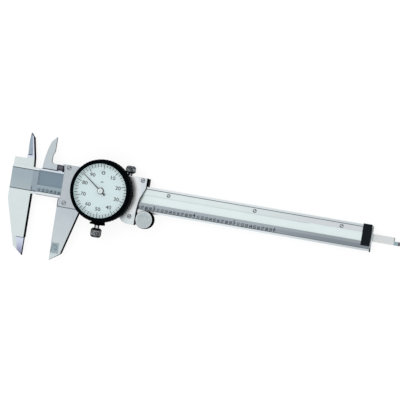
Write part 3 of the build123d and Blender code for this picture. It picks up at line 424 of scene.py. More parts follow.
# %% Colours of the bar's front
def land_colours(recipe, y, past_slide, far_end):
    """The land above the channel, with a painted shade line at its foot; between the jaws the shade is
    wider, under a painted highlight.
    """
    left = recipe.blend(y.below(7.05, 0.05), screen(206, 214, 224), screen(120, 134, 142))
    right = recipe.blend(far_end, screen(214, 220, 223), screen(197, 205, 210))
    right = recipe.blend(y.below(6.85, 0.05), right, screen(104, 112, 116))
    return recipe.blend(past_slide, left, right)


def band_colours(recipe, y, past_slide, far_end):
    """The scale's band: darker in its lower half, with a painted shade line at its foot."""
    lower_half = y.below(-3.8, 0.4)
    left = recipe.blend(y.below(-4.2, 1.2), screen(145, 161, 169), screen(134, 150, 159))
    near = recipe.blend(lower_half, screen(160, 169, 175), screen(147, 156, 162))
    far = recipe.blend(lower_half, screen(145, 153, 159), screen(127, 135, 142))
    colour = recipe.blend(past_slide, left, recipe.blend(far_end, near, far))
    return recipe.blend(y.below(band_bottom + 0.4, 0.08), colour, screen(104, 112, 118))


def lip_colours(recipe, y, past_slide, far_end):
    """The lip: its edge is a painted grey shade line between the jaws, and a painted white highlight past
    the slide.
    """
    edge = y.below(-7.6, 0.08)
    left = recipe.blend(edge, screen(212, 218, 222), screen(128, 135, 139))
    right = recipe.blend(far_end, screen(218, 224, 227), screen(196, 202, 205))
    return recipe.blend(past_slide, left, recipe.blend(edge, right, screen(250, 253, 254)))


def end_field(recipe, x, y):
    """The field at the bar's left end between two painted shade lines, with another at its lower corner,
    and light steel beyond them.
    """
    colour = recipe.blend(y.below(-1, 6), screen(153, 167, 176), screen(162, 175, 180))
    colour = recipe.blend(x.above(-0.8, 0.6), colour, screen(143, 157, 166))
    corner_line = x.between(-0.5, 0.1, 0.1) * y.below(-3.4, 0.4)
    colour = recipe.blend(corner_line, colour, screen(98, 108, 116))
    colour = recipe.blend(abs(y).above(field_edge - 0.2, 0.06), colour, screen(58, 66, 72))
    return recipe.blend(abs(y).above(field_edge + 0.25, 0.06), colour, screen(206, 215, 217))


def bar_front(recipe, x, y, nx):
    """All stripes of the bar: each takes over from the others at its own edge."""
    past_slide, far_end = x.above(40, 12), x.above(165, 35)
    channel_floor = recipe.blend(past_slide, screen(121, 137, 150), screen(218, 229, 229))
    band = band_colours(recipe, y, past_slide, far_end)
    land = land_colours(recipe, y, past_slide, far_end)
    lip = lip_colours(recipe, y, past_slide, far_end)
    colour = recipe.blend(y.above(channel_bottom, 0.02), band, channel_floor)
    colour = recipe.blend(y.above(channel_top, 0.02), colour, land)
    colour = recipe.blend(y.below(band_bottom, 0.04), colour, lip)
    colour = recipe.blend(x.below(channel_left - 0.1, 0.05), colour, end_field(recipe, x, y))
    # the channel's end wall mirrors the bluish floor before it, and white paint makes up for it
    end_wall = nx.above(0.5, 0.1) * x.between(channel_left - 0.2, channel_left + 0.2, 0.05)
    return recipe.blend(end_wall, colour, screen(255, 255, 255))


print("stripes of the bar meet at Y =", [channel_top, channel_bottom, band_bottom])

# %% [markdown]
# ## Colours of the fixed jaws
# A jaw is ground to a knife edge, and a ground face mirrors another part of the room than the
# flat beside it, so it is painted in a colour of its own behind a dark line. The outside jaw's
# knife is violet and darkens towards its tip, and the inside jaw has a pale blade with a
# bluish bevel. The dark walls come out thinner than in the photograph, so narrow strips of
# the faces above them are painted black, too.

# %% Colours of the fixed jaws
def jaw_walls(recipe, x, y, z):
    """Walls that face right, but on the bar's end only at its lower corner and upper back."""
    on_jaws = abs(y).above(bar_half_width + 0.1, 0.05)
    lower_corner = y.below(-5.8, 0.1)
    upper_back = y.between(2.5, 7.6, 0.2) * z.below(1.4, 0.1)
    on_end = (lower_corner + upper_back) * x.above(200, 1)
    return faces_right(recipe, x, y, z) * (on_jaws + on_end)


def outside_jaw(recipe, x, y, colour):
    """The knife at the outside jaw's end, a painted reflection that darkens towards the tip, behind a
    boundary that slants with the jaw.
    """
    knife_top, slant = -35.1, 0.17
    knife_colour = recipe.blend(y.below(-41, 4.5), screen(203, 211, 230), screen(138, 141, 166))
    knife_colour = recipe.blend(y.below(-45.2, 0.6), knife_colour, screen(92, 88, 104))
    knife = y.below(knife_top, 0.05) * (x + (y - knife_top) * slant).above(-4.9, 0.3)
    colour = recipe.blend(knife, colour, knife_colour)
    # a painted shade line where the knife starts
    knife_line = y.between(knife_top - 0.4, knife_top, 0.05) * x.above(-5.2, 0.4)
    return recipe.blend(knife_line, colour, screen(82, 90, 98))


def inside_jaw(recipe, x, y, nx, nz, colour):
    """The blade and the streaky bevel of the inside jaw, in painted reflections."""
    blade = y.above(13.6, 0.6) * nz.above(0.9, 0.03)
    colour = recipe.blend(blade, colour, screen(202, 208, 222))
    bevel = y.above(bevel_start, 0.05) * nx.below(-0.1, 0.05)
    streaks = recipe.noise((0.5, 5, 0.5), 3.0)
    bevel_colour = recipe.blend(streaks.above(0.5, 0.2), screen(137, 152, 166), screen(166, 180, 193))
    colour = recipe.blend(bevel, colour, bevel_colour)
    # a painted shadow line at the step where the bevel starts
    bevel_line = y.between(bevel_start, bevel_start + 0.5, 0.08) * x.between(-6.6, -3.3, 0.1)
    return recipe.blend(bevel_line, colour, screen(62, 72, 84))


def dark_strips(x, y):
    """1 on the strips above the jaws' dark walls, where black is painted as shade: the measuring edge and
    the inside jaw's two.
    """
    measuring_edge = y.below(-bar_half_width, 0.05) * x.above(-0.38, 0.05)
    inside_foot = y.between(8.1, 14, 0.05) * (x + (y - 8) * 0.081).above(-1.24, 0.05)
    inside_tip = y.above(13, 0.05) * (x + (y - 13.7) * 0.202).above(-1.7, 0.05)
    return measuring_edge + inside_foot + inside_tip


def beam_paint(recipe, x, y, z):
    """The jaws' light steel, the bar's front between them, and the jaws' ground faces."""
    nx, _, nz = recipe.facing()
    colour = recipe.blend(y.below(4, 12), screen(203, 212, 213), screen(206, 215, 216))
    on_bar = abs(y).below(bar_half_width, 0.04)
    colour = recipe.blend(on_bar, colour, bar_front(recipe, x, y, nx))
    colour = outside_jaw(recipe, x, y, colour)
    colour = inside_jaw(recipe, x, y, nx, nz, colour)
    return recipe.blend(dark_strips(x, y), colour, BLACK_EDGE)


finishes = {"beam": steel("beam_steel", beam_paint, dark=jaw_walls)}
print("nodes in the bar's material:", len(finishes["beam"].node_tree.nodes))

# %% [markdown]
# ## Colours of the slide and the small steel pieces
# The slide's frame and its jaws are brushed across, with a mottled knife whose darker start is a
# painted reflection, and with painted shading and painted shadow lines. The plate on top is
# painted greyer at its left and lightest at its right, as the light falls, and there white paint
# makes up for the shade of the dial's case. The depth rod has a darker, narrow tip. Steel that
# the case and the bar hide gets one plain colour.

# %% Slide, plate, rod and rack
def slide_paint(recipe, x, y, z):
    """Colours of the slide's frame: its two jaws and the arm between them."""
    # painted shading: the outside jaw is lighter towards its end than near the plate
    colour = recipe.blend(y.below(-24, 12), screen(181, 190, 197), screen(192, 201, 204))
    colour = recipe.blend(y.above(14, 6), colour, screen(181, 190, 194))
    # the knife is mottled and darker where it starts, and fades towards the tip: a painted reflection of
    # its ground face
    mottle = recipe.noise((1.1, 1.1, 1.1), 2.0)
    knife = y.between(-41.5, -35.2, 0.9) * x.below(jaw_opening + 5.4, 0.9)
    knife_colour = recipe.blend(mottle.above(0.5, 0.12), screen(119, 135, 141), screen(153, 168, 174))
    colour = recipe.blend(knife, colour, knife_colour)
    # a painted shadow line in the gap between the inside arm and the bar
    root_line = y.between(7.9, 8.65, 0.1) * x.below(jaw_opening - 2.4, 0.2)
    colour = recipe.blend(root_line, colour, screen(50, 58, 64))
    # a painted shadow line under the plate's lower edge
    plate_line = y.between(-13.2, -12.6, 0.05) * x.above(jaw_opening + 0.3, 0.1)
    colour = recipe.blend(plate_line, colour, screen(92, 99, 104))
    # a painted shadow line down the frame's end under the bar
    corner_line = y.between(-13.2, -8.2, 0.1) * x.below(jaw_opening + 0.5, 0.1)
    colour = recipe.blend(corner_line, colour, screen(88, 95, 100))
    # a black strip of painted shade beside the slanted dark wall, which comes out too thin by itself
    strip = y.between(-40.5, -13.8, 0.05) * (x - y * 0.2774).above(35.6, 0.05)
    return recipe.blend(strip, colour, BLACK_EDGE)


def plate_paint(recipe, x, y, z):
    """Painted light: grey at the left, lightest beside the dial's case against its shade, and a cooler
    grey at the foot.
    """
    colour = recipe.blend(x.above(42, 16), screen(176, 184, 189), screen(206, 213, 219))
    # white painted beside the dial's case, to make up for the case's shade
    beside_case = away_from([dial_axis], x, y).below(22.5, 2.5)
    colour = recipe.blend(beside_case * x.above(50, 6), colour, screen(252, 254, 255))
    return recipe.blend(y.below(-10, 3) * x.above(50, 8), colour, screen(208, 217, 220))


def rod_paint(recipe, x, y, z):
    """The depth rod darkens at its narrow tip, and its end is nearly black."""
    rod_end = float(box_mm("depth_rod")[1][0])
    colour = recipe.blend(x.above(rod_end - 3.6, 0.4), screen(207, 211, 211), screen(148, 164, 172))
    return recipe.blend(x.above(rod_end - 0.8, 0.2), colour, screen(78, 84, 90))


def rack_paint(recipe, x, y, z):
    """Milled steel, a little greyer towards the far end."""
    return recipe.blend(x.above(150, 40), screen(213, 223, 223), screen(202, 207, 211))


finishes |= {
    "slide_body": steel("slide_steel", slide_paint, grain=(0.5, 5, 0.5), mottle=0.12),
    "front_plate": steel("plate_steel", plate_paint, grain=(1.4, 0.9, 0.9), mottle=0.12),
    "rack": steel("rack_steel", rack_paint, dark=None),
    "depth_rod": steel("rod_steel", rod_paint),
    "roller_arm": steel("arm_steel", screen(186, 190, 193)),
}
hidden_steel = ("roller_axle", "depth_rod_rivets", "bridge_pillars", "take_up_spring",
                "bezel_wire", "dial_snap_ring")
for node in hidden_steel:
    finishes[node] = steel(node + "_steel", screen(192, 195, 198), dark=None)
print("steel finishes:", sorted(finishes))

# %% [markdown]
# ## Screws
# A slotted screw is turned steel with a sawn slot. The slot is only a few tenths of a
# millimetre wide and full of shade and old oil, so its floor is dark: the colour changes with
# the height below the head's top, which is the top of the solid. The gap round each head is
# painted dark as shade too, and the distance from the screw's axis finds it.

# %% Screws
def slotted(node, head, slot, gap):
    """Turned steel in the head's colour, with a dark slot of shade and oil and a painted shade round each
    head.

    The depth below the highest or lowest face, whichever the heads lie in, finds the slots. The
    distance from the nearest axis finds the gaps: |(x, y) - axis| above the head's radius.
    """
    low, high = box_mm(node)
    faces_up = node not in ("end_stop_screws", "roller_arm_screws")
    axes, head_radius = screw_axes(node)

    def paint(recipe, x, y, z):
        depth = float(high[2]) - z if faces_up else z - float(low[2])
        colour = recipe.blend(depth.above(0.2, 0.05), head, slot)
        distance = away_from(axes, x, y)
        # painted shade in the gap round each head
        return recipe.blend(distance.above(head_radius - gap, 0.06), colour, slot)

    return steel(node + "_steel", paint, grain=(0.5, 0.5, 0.5), dark=None)


def screw_axes(node):
    """Where the axes of a group of upright screws lie, and the radius of their heads."""
    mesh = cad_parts[node].data
    spots = np.empty(3 * len(mesh.vertices))
    mesh.vertices.foreach_get("co", spots)
    spots = spots.reshape(-1, 3)[:, :2] / MM
    axes, widest_head = [], 4
    while len(spots):
        near = np.abs(spots - spots[0]).max(axis=1) < widest_head
        low, high = spots[near].min(axis=0), spots[near].max(axis=0)
        axes.append(tuple(map(float, (low + high) / 2)))
        spots = spots[~near]
    return axes, float((high - low)[0] / 2)


head_grey, slot_black = screen(180, 186, 190), screen(58, 62, 66)
for node in ("plate_screws", "case_screws", "bridge_screws", "end_stop_screws", "roller_arm_screws"):
    finishes[node] = slotted(node, head_grey, slot_black, gap=0.28)
finishes["rack_screws"] = slotted("rack_screws", screen(212, 221, 221), screen(46, 50, 54), gap=0.34)
finishes["gib_screws"] = steel("gib_screw_steel", screen(60, 62, 66), dark=None)
print("screws:", [node for node in finishes if node.endswith("screws")])

# %% [markdown]
# ## Black parts, brass and paint
# The bezel, the dial's case, the gib and the end stop are blackened. Black metal shows little
# but its gloss, so its reflection is turned down and broken up by a fine grain. The wheels
# inside are brass, the hand is matt black and the dial is matt white paint with a cold tint.

# %% Black parts, brass and paint
gloss_spread, speckle_depth = 0.12, 0.006


def plain(name, colour, roughness, specular, grain, spread, metallic=0.0):
    """An even finish with a fine grain, in mm, that varies its colour by the spread."""
    recipe = Recipe(name)
    speckle = recipe.noise((grain, grain, grain), 3.0)
    return recipe.finish(recipe.surface(
        Base_Color=recipe.shade(colour, 1 - spread / 2 + speckle * spread),
        Metallic=metallic,
        Roughness=roughness - gloss_spread / 2 + speckle * gloss_spread,
        Specular_IOR_Level=specular,
        Normal=recipe.bump(speckle, speckle_depth),
    ))


def gib_finish():
    """The gib's lug by the inside jaw looks violet grey, and its other lug is black."""
    recipe = Recipe("gib_black")
    x, y, _ = recipe.place()
    speckle = recipe.noise((1.4, 1.4, 1.4), 3.0)
    lug_middle = x.between(14.5, 17.5, 0.2) * y.between(9.4, 11.4, 0.2)
    grey_lug = recipe.blend(lug_middle, screen(36, 38, 48), screen(104, 103, 112))
    colour = recipe.blend(x.above(40, 2), grey_lug, screen(6, 7, 9))
    return recipe.finish(recipe.surface(
        Base_Color=recipe.shade(colour, 0.5 + speckle),
        Roughness=0.5 + speckle * 0.1,
        Specular_IOR_Level=0.03,
    ))


black = plain("black_finish", screen(22, 27, 32), roughness=0.55, specular=0.04, grain=0.35, spread=0.4)
brass = plain("brass", screen(214, 184, 116), roughness=0.34, specular=0.5, grain=0.5, spread=0.12,
              metallic=1.0)
pinion_steel = plain("pinion_steel", screen(186, 188, 190), roughness=0.3, specular=0.5, grain=0.4,
                     spread=0.1, metallic=1.0)
dial_white = plain("dial_white", screen(232, 248, 250), roughness=0.6, specular=0.3, grain=0.5,
                   spread=0.03)
finishes["end_stop"] = black
finishes["dial_case"] = plain("case_black", screen(5, 7, 9), roughness=0.6, specular=0.001,
                              grain=0.35, spread=0.4)
finishes["gib"] = gib_finish()
finishes["bezel"] = plain("bezel_black", screen(4, 7, 10), roughness=0.5, specular=0.003,
                          grain=0.3, spread=0.4)
for node in ("movement_bridge", "transfer_wheel", "take_up_wheel"):
    finishes[node] = brass
for node in ("transfer_arbor", "centre_pinion"):
    finishes[node] = pinion_steel
for node in ("dial_plate", "dial_spacer"):
    finishes[node] = dial_white
finishes["hand"] = plain("hand_black", screen(10, 14, 16), roughness=0.55, specular=0.03,
                         grain=0.2, spread=0.3)
print("finishes so far:", len(finishes))

# %% [markdown]
# ## Crystal
# The crystal is a clear disc. Seen from above it shows only a faint reflection, which grows
# towards grazing angles. A low opacity with a smooth gloss gives this and lets the lamps
# reach the dial, which real refraction would keep in the dark. The cap on the hand's axis is a
# small bright disc whose wall is painted black as shade.

# %% Crystal and cap
least_alpha, grazing_alpha = 0.05, 0.35
glass = Recipe("crystal")
glass_edge = glass.node("ShaderNodeLayerWeight", sockets={"Blend": 0.35}, output="Fresnel")
finishes["crystal"] = glass.finish(glass.surface(
    Base_Color=screen(236, 243, 245),
    Roughness=0.03,
    Alpha=least_alpha + glass_edge * grazing_alpha,
))


def round_walls(recipe, x, y, z):
    """1 on walls and slopes, and 0 on faces that look up or down."""
    _, _, nz = recipe.facing()
    return abs(nz).below(0.85, 0.1)


def cap_paint(recipe, x, y, z):
    """A bright disc with a small turned ring in it."""
    distance = away_from([dial_axis], x, y)
    return recipe.blend(distance.between(0.5, 0.75, 0.08), screen(230, 239, 241), screen(140, 148, 150))


# the cap's walls are painted black as shade
finishes["hand_cap"] = steel("cap_metal", cap_paint, grain=(0.4, 0.4, 0.4), dark=round_walls)

for node, finish in finishes.items():
    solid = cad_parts[node]
    solid.data.materials.clear()
    solid.data.materials.append(finish)
print("nodes with no finish yet:", sorted(set(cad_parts) - set(finishes)))

# %% [markdown]
# ## New pieces from arrays
# Every new piece is a set of points and faces worked out with numpy and put into a mesh in
# one go. Its place is in its points, so its object sits at the origin, as the solids do, and
# patterns on Object coordinates line up from piece to piece.

# %% From arrays to a piece
def outward(points, faces):
    """The faces, turned round if the closed shape they make has a negative volume."""
    volume = 0.0
    for face in faces:
        for second, third in zip(face[1:-1], face[2:]):
            volume += np.dot(points[face[0]], np.cross(points[second], points[third]))
    return faces if volume > 0 else [tuple(reversed(face)) for face in faces]


def piece(name, points, faces, finish, body, smooth=None):
    """A mesh object made of points in mm; it rides on the body and takes the finish given to it."""
    mesh = bpy.data.meshes.new(name)
    mesh.from_pydata((np.asarray(points) * MM).tolist(), [], [tuple(map(int, face)) for face in faces])
    mesh.materials.append(finish)
    if smooth:
        mesh.shade_smooth()
        mesh.set_sharp_from_angle(angle=math.radians(smooth))
    made = bpy.data.objects.new(name, mesh)
    bpy.context.scene.collection.objects.link(made)
    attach(made, body)
    print(name, len(mesh.polygons), "faces")
    return made


tips, inside_out = np.vstack([np.zeros(3), np.eye(3)]), [(0, 1, 2), (0, 3, 1), (0, 2, 3), (1, 3, 2)]
print("a pyramid's faces, turned outwards:", outward(tips, inside_out))

# %% [markdown]
# ## Turned and knurled shapes
# A knurl is pressed into turned metal by two wheels with slanted teeth, which leave crossed
# grooves and small pyramids between them. The surface is a lathe's: a profile of radius and
# height goes round the axis. Where it is knurled, two ridges that wind in opposite directions
# cross, and the lower one of the two is the height of the pyramid.

# %% Turned and knurled shapes
def turned(profile, around, knurls=0, depth=0.0, pitch=1.0):
    """Points and faces of a lathe-turned shape, closed at both ends of its profile.

    The profile has rows (radius, height, knurled). A point is (r cos u, r sin u, height), where
    u runs round the axis. On a knurled row r shrinks by depth * (1 - min(ridge(a), ridge(b))),
    with a = knurls * u / turn + height / pitch, b = knurls * u / turn - height / pitch, and
    ridge(t) going from 0 to 1 and back while t grows by one.
    """
    profile = np.asarray(profile, dtype=float)
    u = np.linspace(0, 2 * math.pi, around, endpoint=False)
    radius, height, knurled = (column[:, None] for column in profile.T)
    turn_share = knurls * u[None, :] / (2 * math.pi)

    def ridge(t):
        return 1 - abs(2 * (t - np.floor(t)) - 1)

    pyramid = np.minimum(ridge(turn_share + height / pitch), ridge(turn_share - height / pitch))
    r = radius - depth * knurled * (1 - pyramid)
    points = np.stack([r * np.cos(u), r * np.sin(u), height + 0 * u], axis=-1).reshape(-1, 3)
    rows = len(profile)
    start = (np.arange(rows - 1)[:, None] * around + np.arange(around)[None, :])
    following = np.roll(start, -1, axis=1)
    quads = np.stack([start, following, following + around, start + around], axis=-1).reshape(-1, 4)
    caps = [tuple(range(around))[::-1], tuple(range((rows - 1) * around, rows * around))]
    return points, [tuple(quad) for quad in quads.tolist()] + caps


def knurled_rows(radius, low, high, rows):
    """Profile rows of a knurled stretch between two heights."""
    return [(float(radius), float(height), 1.0) for height in np.linspace(low, high, rows)]


def lay_along_y(points, centre_x, centre_z, start_y, way):
    """Turns a shape that stands on Z so that its height runs along Y, one way or the other."""
    x, y, height = points.T
    return np.stack([centre_x + x, start_y + way * height, centre_z + y], axis=-1)


print("a turned disc of 12 sides has", len(turned([(1, 0, 0), (1, 1, 0)], around=12)[1]), "faces")

# %% [markdown]
# ## Metal of the two knobs
# Fingers wear the tips of a knurl bright, while its grooves stay black; both are painted
# highlight and shade as well. So the colour follows the distance from the screw's axis, and
# noise makes patches of painted glint. The dark underside and the light middle of the stem are
# painted shade and highlight by direction, so they turn with the screw.

# %% Metal of the two knobs
knurl_depth, lock_knob, clamp_knob = 0.3, 4.5, 5.7


def knurled_finish(name, node, way, knob, stem, groove, tip, crown):
    """Metal of a knob along Y: black in the grooves of its knurl and bright on the tips.

    The crown at the knob's end has its own colour, its steep sides and its underside are painted
    black as shade, and the stem has a painted highlight down its middle.
    """
    low, high = box_mm(node)
    centre = (low + high) / 2
    radius = float(high[0] - low[0]) / 2
    recipe = Recipe(name)
    x, y, z = recipe.place()
    nx, _, nz = recipe.facing()
    dx, dz = x - float(centre[0]), z - float(centre[2])
    from_axis = (dx * dx + dz * dz).root()
    patches = recipe.noise((1.1, 1.1, 1.1), 2.0).above(0.5, 0.13)
    speckle = recipe.noise((0.7, 0.7, 0.7), 2.0)
    colour = recipe.blend(from_axis.above(radius - knurl_depth * 0.5, knurl_depth * 0.4), groove, tip)
    from_end = (float(high[1] if way > 0 else low[1]) - y) * way
    colour = recipe.blend(from_end.below(1.1, 0.4), colour, crown)
    # painted shade: black on the knob's steep sides and underside
    colour = recipe.blend(nz.below(0.4, 0.15) + from_end.above(knob - 1.2, 0.2), colour, groove)
    # a painted highlight down the stem's middle, with painted shade at its sides
    stem_colour = recipe.blend(abs(nx - 0.25).above(0.4, 0.15), stem, groove)
    colour = recipe.blend(from_axis.below(radius * 0.5, 0.05), colour, stem_colour)
    # the patches brighten and darken the knob as painted glints
    return recipe.finish(recipe.surface(
        Base_Color=recipe.shade(colour, 0.4 + patches * 1.2),
        Metallic=1.0,
        Roughness=0.3 + speckle * 0.1,
    ))


lock_finish = knurled_finish(
    "lock_knob_metal", "lock_screw", way=1, knob=lock_knob, stem=screen(120, 126, 134),
    groove=screen(10, 12, 16), tip=screen(216, 225, 232), crown=screen(90, 95, 102))
clamp_finish = knurled_finish(
    "clamp_knob_metal", "bezel_clamp_screw", way=-1, knob=clamp_knob, stem=screen(196, 200, 203),
    groove=screen(18, 19, 21), tip=screen(184, 187, 190), crown=screen(66, 68, 72))
print("knob metals:", lock_finish.name, "and", clamp_finish.name)

# %% [markdown]
# ## Knurled screws
# Each screw is one turned shape: a plain stem, a short neck, the knurled knob and a rounded
# crown. It takes the place of the solid of the same name, whose box gives its place and size,
# so it sits in the same hole and turns with the same body.

# %% Knurled screws
def knurled_screw(node, body, stem_radius, knob_length, crown, way, finish):
    """A screw with a crossed knurl and a round crown, for the solid of the same name."""
    low, high = box_mm(node)
    length = high[1] - low[1]
    knob_radius = (high[0] - low[0]) / 2
    knob_start = length - knob_length
    stem_bevel, neck, core = 0.3, 0.8, knob_radius - 0.2
    profile = [
        (stem_radius - stem_bevel, 0, 0), (stem_radius, stem_bevel, 0), (stem_radius, knob_start, 0),
        (core - neck, knob_start, 0), (knob_radius - knurl_depth, knob_start + neck, 0),
    ]
    profile += knurled_rows(knob_radius, knob_start + neck, length - crown, 31)
    bend = np.linspace(0, math.pi / 2, 9)
    profile += [(core - crown * (1 - math.cos(t)), length - crown * (1 - math.sin(t)), 0) for t in bend]
    points, faces = turned(profile, around=144, knurls=24, depth=knurl_depth, pitch=1.5)
    centre = (low + high) / 2
    start = low[1] if way > 0 else high[1]
    points = lay_along_y(points, centre[0], centre[2], start, way)
    made = piece(node + "_knurled", points, outward(points, faces), finish, body, smooth=35)
    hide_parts(node)


knurled_screw("lock_screw", "lock_screw", stem_radius=1.45, knob_length=lock_knob, crown=1.6,
              way=1, finish=lock_finish)
knurled_screw("bezel_clamp_screw", "bezel_clamp", stem_radius=1.5, knob_length=clamp_knob, crown=1.4,
              way=-1, finish=clamp_finish)

# %% [markdown]
# ## Thumb roller
# The roller is a wheel with a knurled rim, a shallow dish in its face, and a smooth hub that
# rolls on the bar's lower edge. Its profile runs from the middle of the face over the rim and
# the hub, and back into the bore for the axle.

# %% Thumb roller
roller_low, roller_high = box_mm("thumb_roller")
roller_centre = (roller_low + roller_high) / 2
roller_axis = tuple(map(float, roller_centre[:2]))
roller_radius = float(roller_high[0] - roller_low[0]) / 2
roller_back, roller_top = 3.95, roller_high[2]
hub_radius, bore_radius, bore_top = 3.77, 1.04, roller_top - 1.36
bright_radius, dish_radius, dish_depth = roller_radius - 0.4, roller_radius - 1.0, 0.12
dish_z = roller_top - dish_depth
roller_profile = [
    (0.4, dish_z, 0), (dish_radius - dish_depth, dish_z, 0), (dish_radius, roller_top, 0),
    (bright_radius, roller_top, 0), (roller_radius - 0.2, roller_top - 0.25, 0),
]
roller_profile += knurled_rows(roller_radius, roller_top - 0.3, roller_back + 0.5, 31)
roller_profile += [
    (roller_radius - 0.25, roller_back + 0.45, 0), (roller_radius - 0.7, roller_back, 0),
    (hub_radius, roller_back, 0), (hub_radius, roller_low[2], 0),
    (bore_radius, roller_low[2], 0), (bore_radius, bore_top, 0), (0.2, bore_top, 0),
]


def roller_rim(recipe, x, y, z):
    """1 on the roller's knurled rim, which is painted black as shade, and 0 on its face."""
    distance = away_from([roller_axis], x, y)
    return distance.above(bright_radius - 0.05, 0.05)


def roller_paint(recipe, x, y, z):
    """The face is mottled, and a little lighter towards its rim."""
    distance = away_from([roller_axis], x, y)
    patches = recipe.noise((2.2, 2.2, 2.2), 2.0).above(0.5, 0.2)
    face = recipe.blend(patches, screen(166, 176, 180), screen(182, 191, 194))
    return recipe.blend(distance.above(dish_radius - 0.2, 0.3), face, screen(196, 203, 206))


points, faces = turned(roller_profile, around=240, knurls=40, depth=0.28, pitch=1.7)
points[:, :2] += roller_centre[:2]
roller_finish = steel("roller_steel", roller_paint, grain=(0.5, 0.5, 0.5), mottle=0.2, dark=roller_rim)
roller = piece("thumb_roller_knurled", points, outward(points, faces), roller_finish, "thumb_roller",
               smooth=35)
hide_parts("thumb_roller")

# %% [markdown]
# ## Ticks
# A tick is a thin bar of paint. All the ticks of a scale are one mesh: the eight corners of a
# unit box are stretched, turned and shifted by arrays that hold one value for each tick. The
# black ring round the hand's hub is a painted shadow: a flat turned disc, as thin as the paint.

# %% Ticks
BOX_CORNERS = np.array([(x, y, z) for z in (0, 1) for y in (-0.5, 0.5) for x in (-0.5, 0.5)])
BOX_FACES = np.array([(0, 2, 3, 1), (4, 5, 7, 6), (0, 1, 5, 4), (1, 3, 7, 5), (3, 2, 6, 7), (2, 0, 4, 6)])
PRINT_THICKNESS = 0.015


def bars(centres, widths, lengths, angles, low_z):
    """Flat boxes: corner = centre + turn(angle) * (x * width, y * length), and z * thickness."""
    x = BOX_CORNERS[None, :, 0] * np.asarray(widths)[:, None]
    y = BOX_CORNERS[None, :, 1] * np.asarray(lengths)[:, None]
    cos, sin = np.cos(angles)[:, None], np.sin(angles)[:, None]
    points = np.stack([
        centres[:, 0, None] + x * cos - y * sin,
        centres[:, 1, None] + x * sin + y * cos,
        low_z + BOX_CORNERS[None, :, 2] * PRINT_THICKNESS + 0 * x,
    ], axis=-1).reshape(-1, 3)
    faces = (BOX_FACES[None] + 8 * np.arange(len(centres))[:, None, None]).reshape(-1, 4)
    return points, faces.tolist()


# black of the print, and of the painted shadow round the hand's hub
print_and_shadow_black = plain("print_and_shadow_black", screen(4, 8, 10), roughness=0.6, specular=0.02, grain=0.2,
                    spread=0.2)
engraved = plain("engraved_black", screen(60, 68, 76), roughness=0.6, specular=0.1, grain=0.2,
                 spread=0.2)

tick = np.arange(100)
tick_outer = 16.75
tick_length = np.where(tick % 10 == 0, 3.5, np.where(tick % 5 == 0, 2.8, 2.3))
tick_width = np.where(tick % 10 == 0, 0.4, np.where(tick % 2 == 0, 0.38, 0.12))
tick_angle = -2 * math.pi * tick / 100
middle = tick_outer - tick_length / 2
centres = dial_centre + np.stack([-np.sin(tick_angle), np.cos(tick_angle)], axis=-1) * middle[:, None]
points, faces = bars(centres, tick_width, tick_length, tick_angle, dial_face_z)
piece("dial_ticks", points, faces, print_and_shadow_black, "bezel")

# a painted shadow round the hand's hub, laid on the dial
hub_shadow_ring = 2.1
points, faces = turned([(hub_shadow_ring, 0, 0), (hub_shadow_ring, PRINT_THICKNESS, 0)], around=48)
points += (*dial_centre, dial_face_z)
piece("dial_hub_shadow_ring", points, outward(points, faces), print_and_shadow_black, "bezel")

# %% [markdown]
# ## Figures
# A figure is a text object that is turned into a mesh and scaled to one unit of height. One
# that comes back is taken from a store, so each is made once. A whole row becomes one mesh.

# %% Figures
curve_steps, stroke_growth = 3, 0.018
figure_store = {}


def figure(text):
    """Points and faces of a line of text, one unit high, centred, with its base at height 0."""
    if text not in figure_store:
        curve = bpy.data.curves.new("figure", "FONT")
        curve.body, curve.resolution_u = text, curve_steps
        curve.extrude, curve.offset = 0.5, stroke_growth
        carrier = bpy.data.objects.new("figure", curve)
        bpy.context.scene.collection.objects.link(carrier)
        mesh = bpy.data.meshes.new_from_object(carrier)
        shape = bmesh.new()
        shape.from_mesh(mesh)
        bmesh.ops.remove_doubles(shape, verts=shape.verts, dist=1e-5)
        bmesh.ops.recalc_face_normals(shape, faces=shape.faces)
        shape.verts.index_update()
        points = np.array([vertex.co[:] for vertex in shape.verts])
        faces = [tuple(vertex.index for vertex in face.verts) for face in shape.faces]
        shape.free()
        bpy.data.objects.remove(carrier)
        bpy.data.curves.remove(curve)
        bpy.data.meshes.remove(mesh)
        low, high = points.min(axis=0), points.max(axis=0)
        points[:, :2] = (points[:, :2] - (low + high)[:2] / 2) / (high[1] - low[1])
        points[:, 2] += 0.5
        figure_store[text] = points, faces
    return figure_store[text]


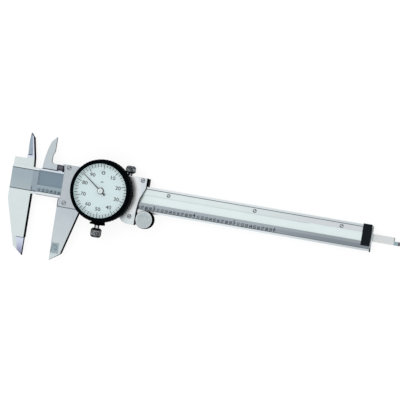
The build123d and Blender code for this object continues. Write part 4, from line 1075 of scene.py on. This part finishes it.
def printed_line(entries, low_z):
    """Points and faces of many figures; an entry is (text, x, y, height, width factor)."""
    all_points, all_faces, count = [], [], 0
    for text, x, y, height, width in entries:
        points, faces = figure(text)
        all_points.append(points * (height * width, height, PRINT_THICKNESS) + (x, y, low_z))
        all_faces += [tuple(index + count for index in face) for face in faces]
        count += len(points)
    return np.concatenate(all_points), all_faces


print("the figure 0 has", len(figure("0")[1]), "faces")

# %% [markdown]
# ## Numbers on the dial
# Plain numbers from 0 to 90 stand upright at each tenth of a turn, because the hand goes once
# round in a tenth of an inch. A division is a thousandth of an inch, as the .001 says.

# %% Numbers on the dial
numeral_circle, numeral_height = 11.1, 2.3
zero_width, tens_width = 1.6, 1.13
unit_rise, unit_height = 5.5, 1.0
entries = []
for tens in range(10):
    angle = -2 * math.pi * tens / 10
    x = dial_centre[0] - numeral_circle * math.sin(angle)
    y = dial_centre[1] + numeral_circle * math.cos(angle)
    entries.append((str(10 * tens), x, y, numeral_height, tens_width if tens else zero_width))
entries.append((".001", dial_centre[0], dial_centre[1] + unit_rise, unit_height, 1.0))
points, faces = printed_line(entries, dial_face_z)
piece("dial_numerals", points, faces, print_and_shadow_black, "bezel")

# %% [markdown]
# ## Scale on the bar
# The bar has a line at each tenth of an inch, from zero to six inches, and a figure beside
# it. The small figures count the tenths, and the larger ones count the whole inches.

# %% Scale on the bar
scale_zero, tenth, line_width = 1.7, 2.54, 0.34
division = np.arange(61)
line_height = np.where(division % 10 == 0, 0.9, 2.2)
centres = np.stack([scale_zero + tenth * division, band_bottom + line_height / 2], axis=-1)
no_turn = np.zeros(len(division))
points, faces = bars(centres, no_turn + line_width, line_height, no_turn, band_top_z)
piece("scale_ticks", points, faces, engraved, "bar")

# how far a figure's middle lies right of its line and above the line's foot, and its height
tenth_figure, inch_figure = (0.9, 1.45, 2.0), (0.35, 2.1, 2.4)
entries = []
for count in division[1:].tolist():
    inches, tenths = divmod(count, 10)
    aside, rise, height = tenth_figure if tenths else inch_figure
    x = scale_zero + tenth * count + aside
    entries.append((str(tenths or inches), x, band_bottom + rise, height, 1.0))
points, faces = printed_line(entries, band_top_z)
piece("scale_figures", points, faces, engraved, "bar")

# %% [markdown]
# ## Size and finish
# The dressed model has to be as large as the measured one.
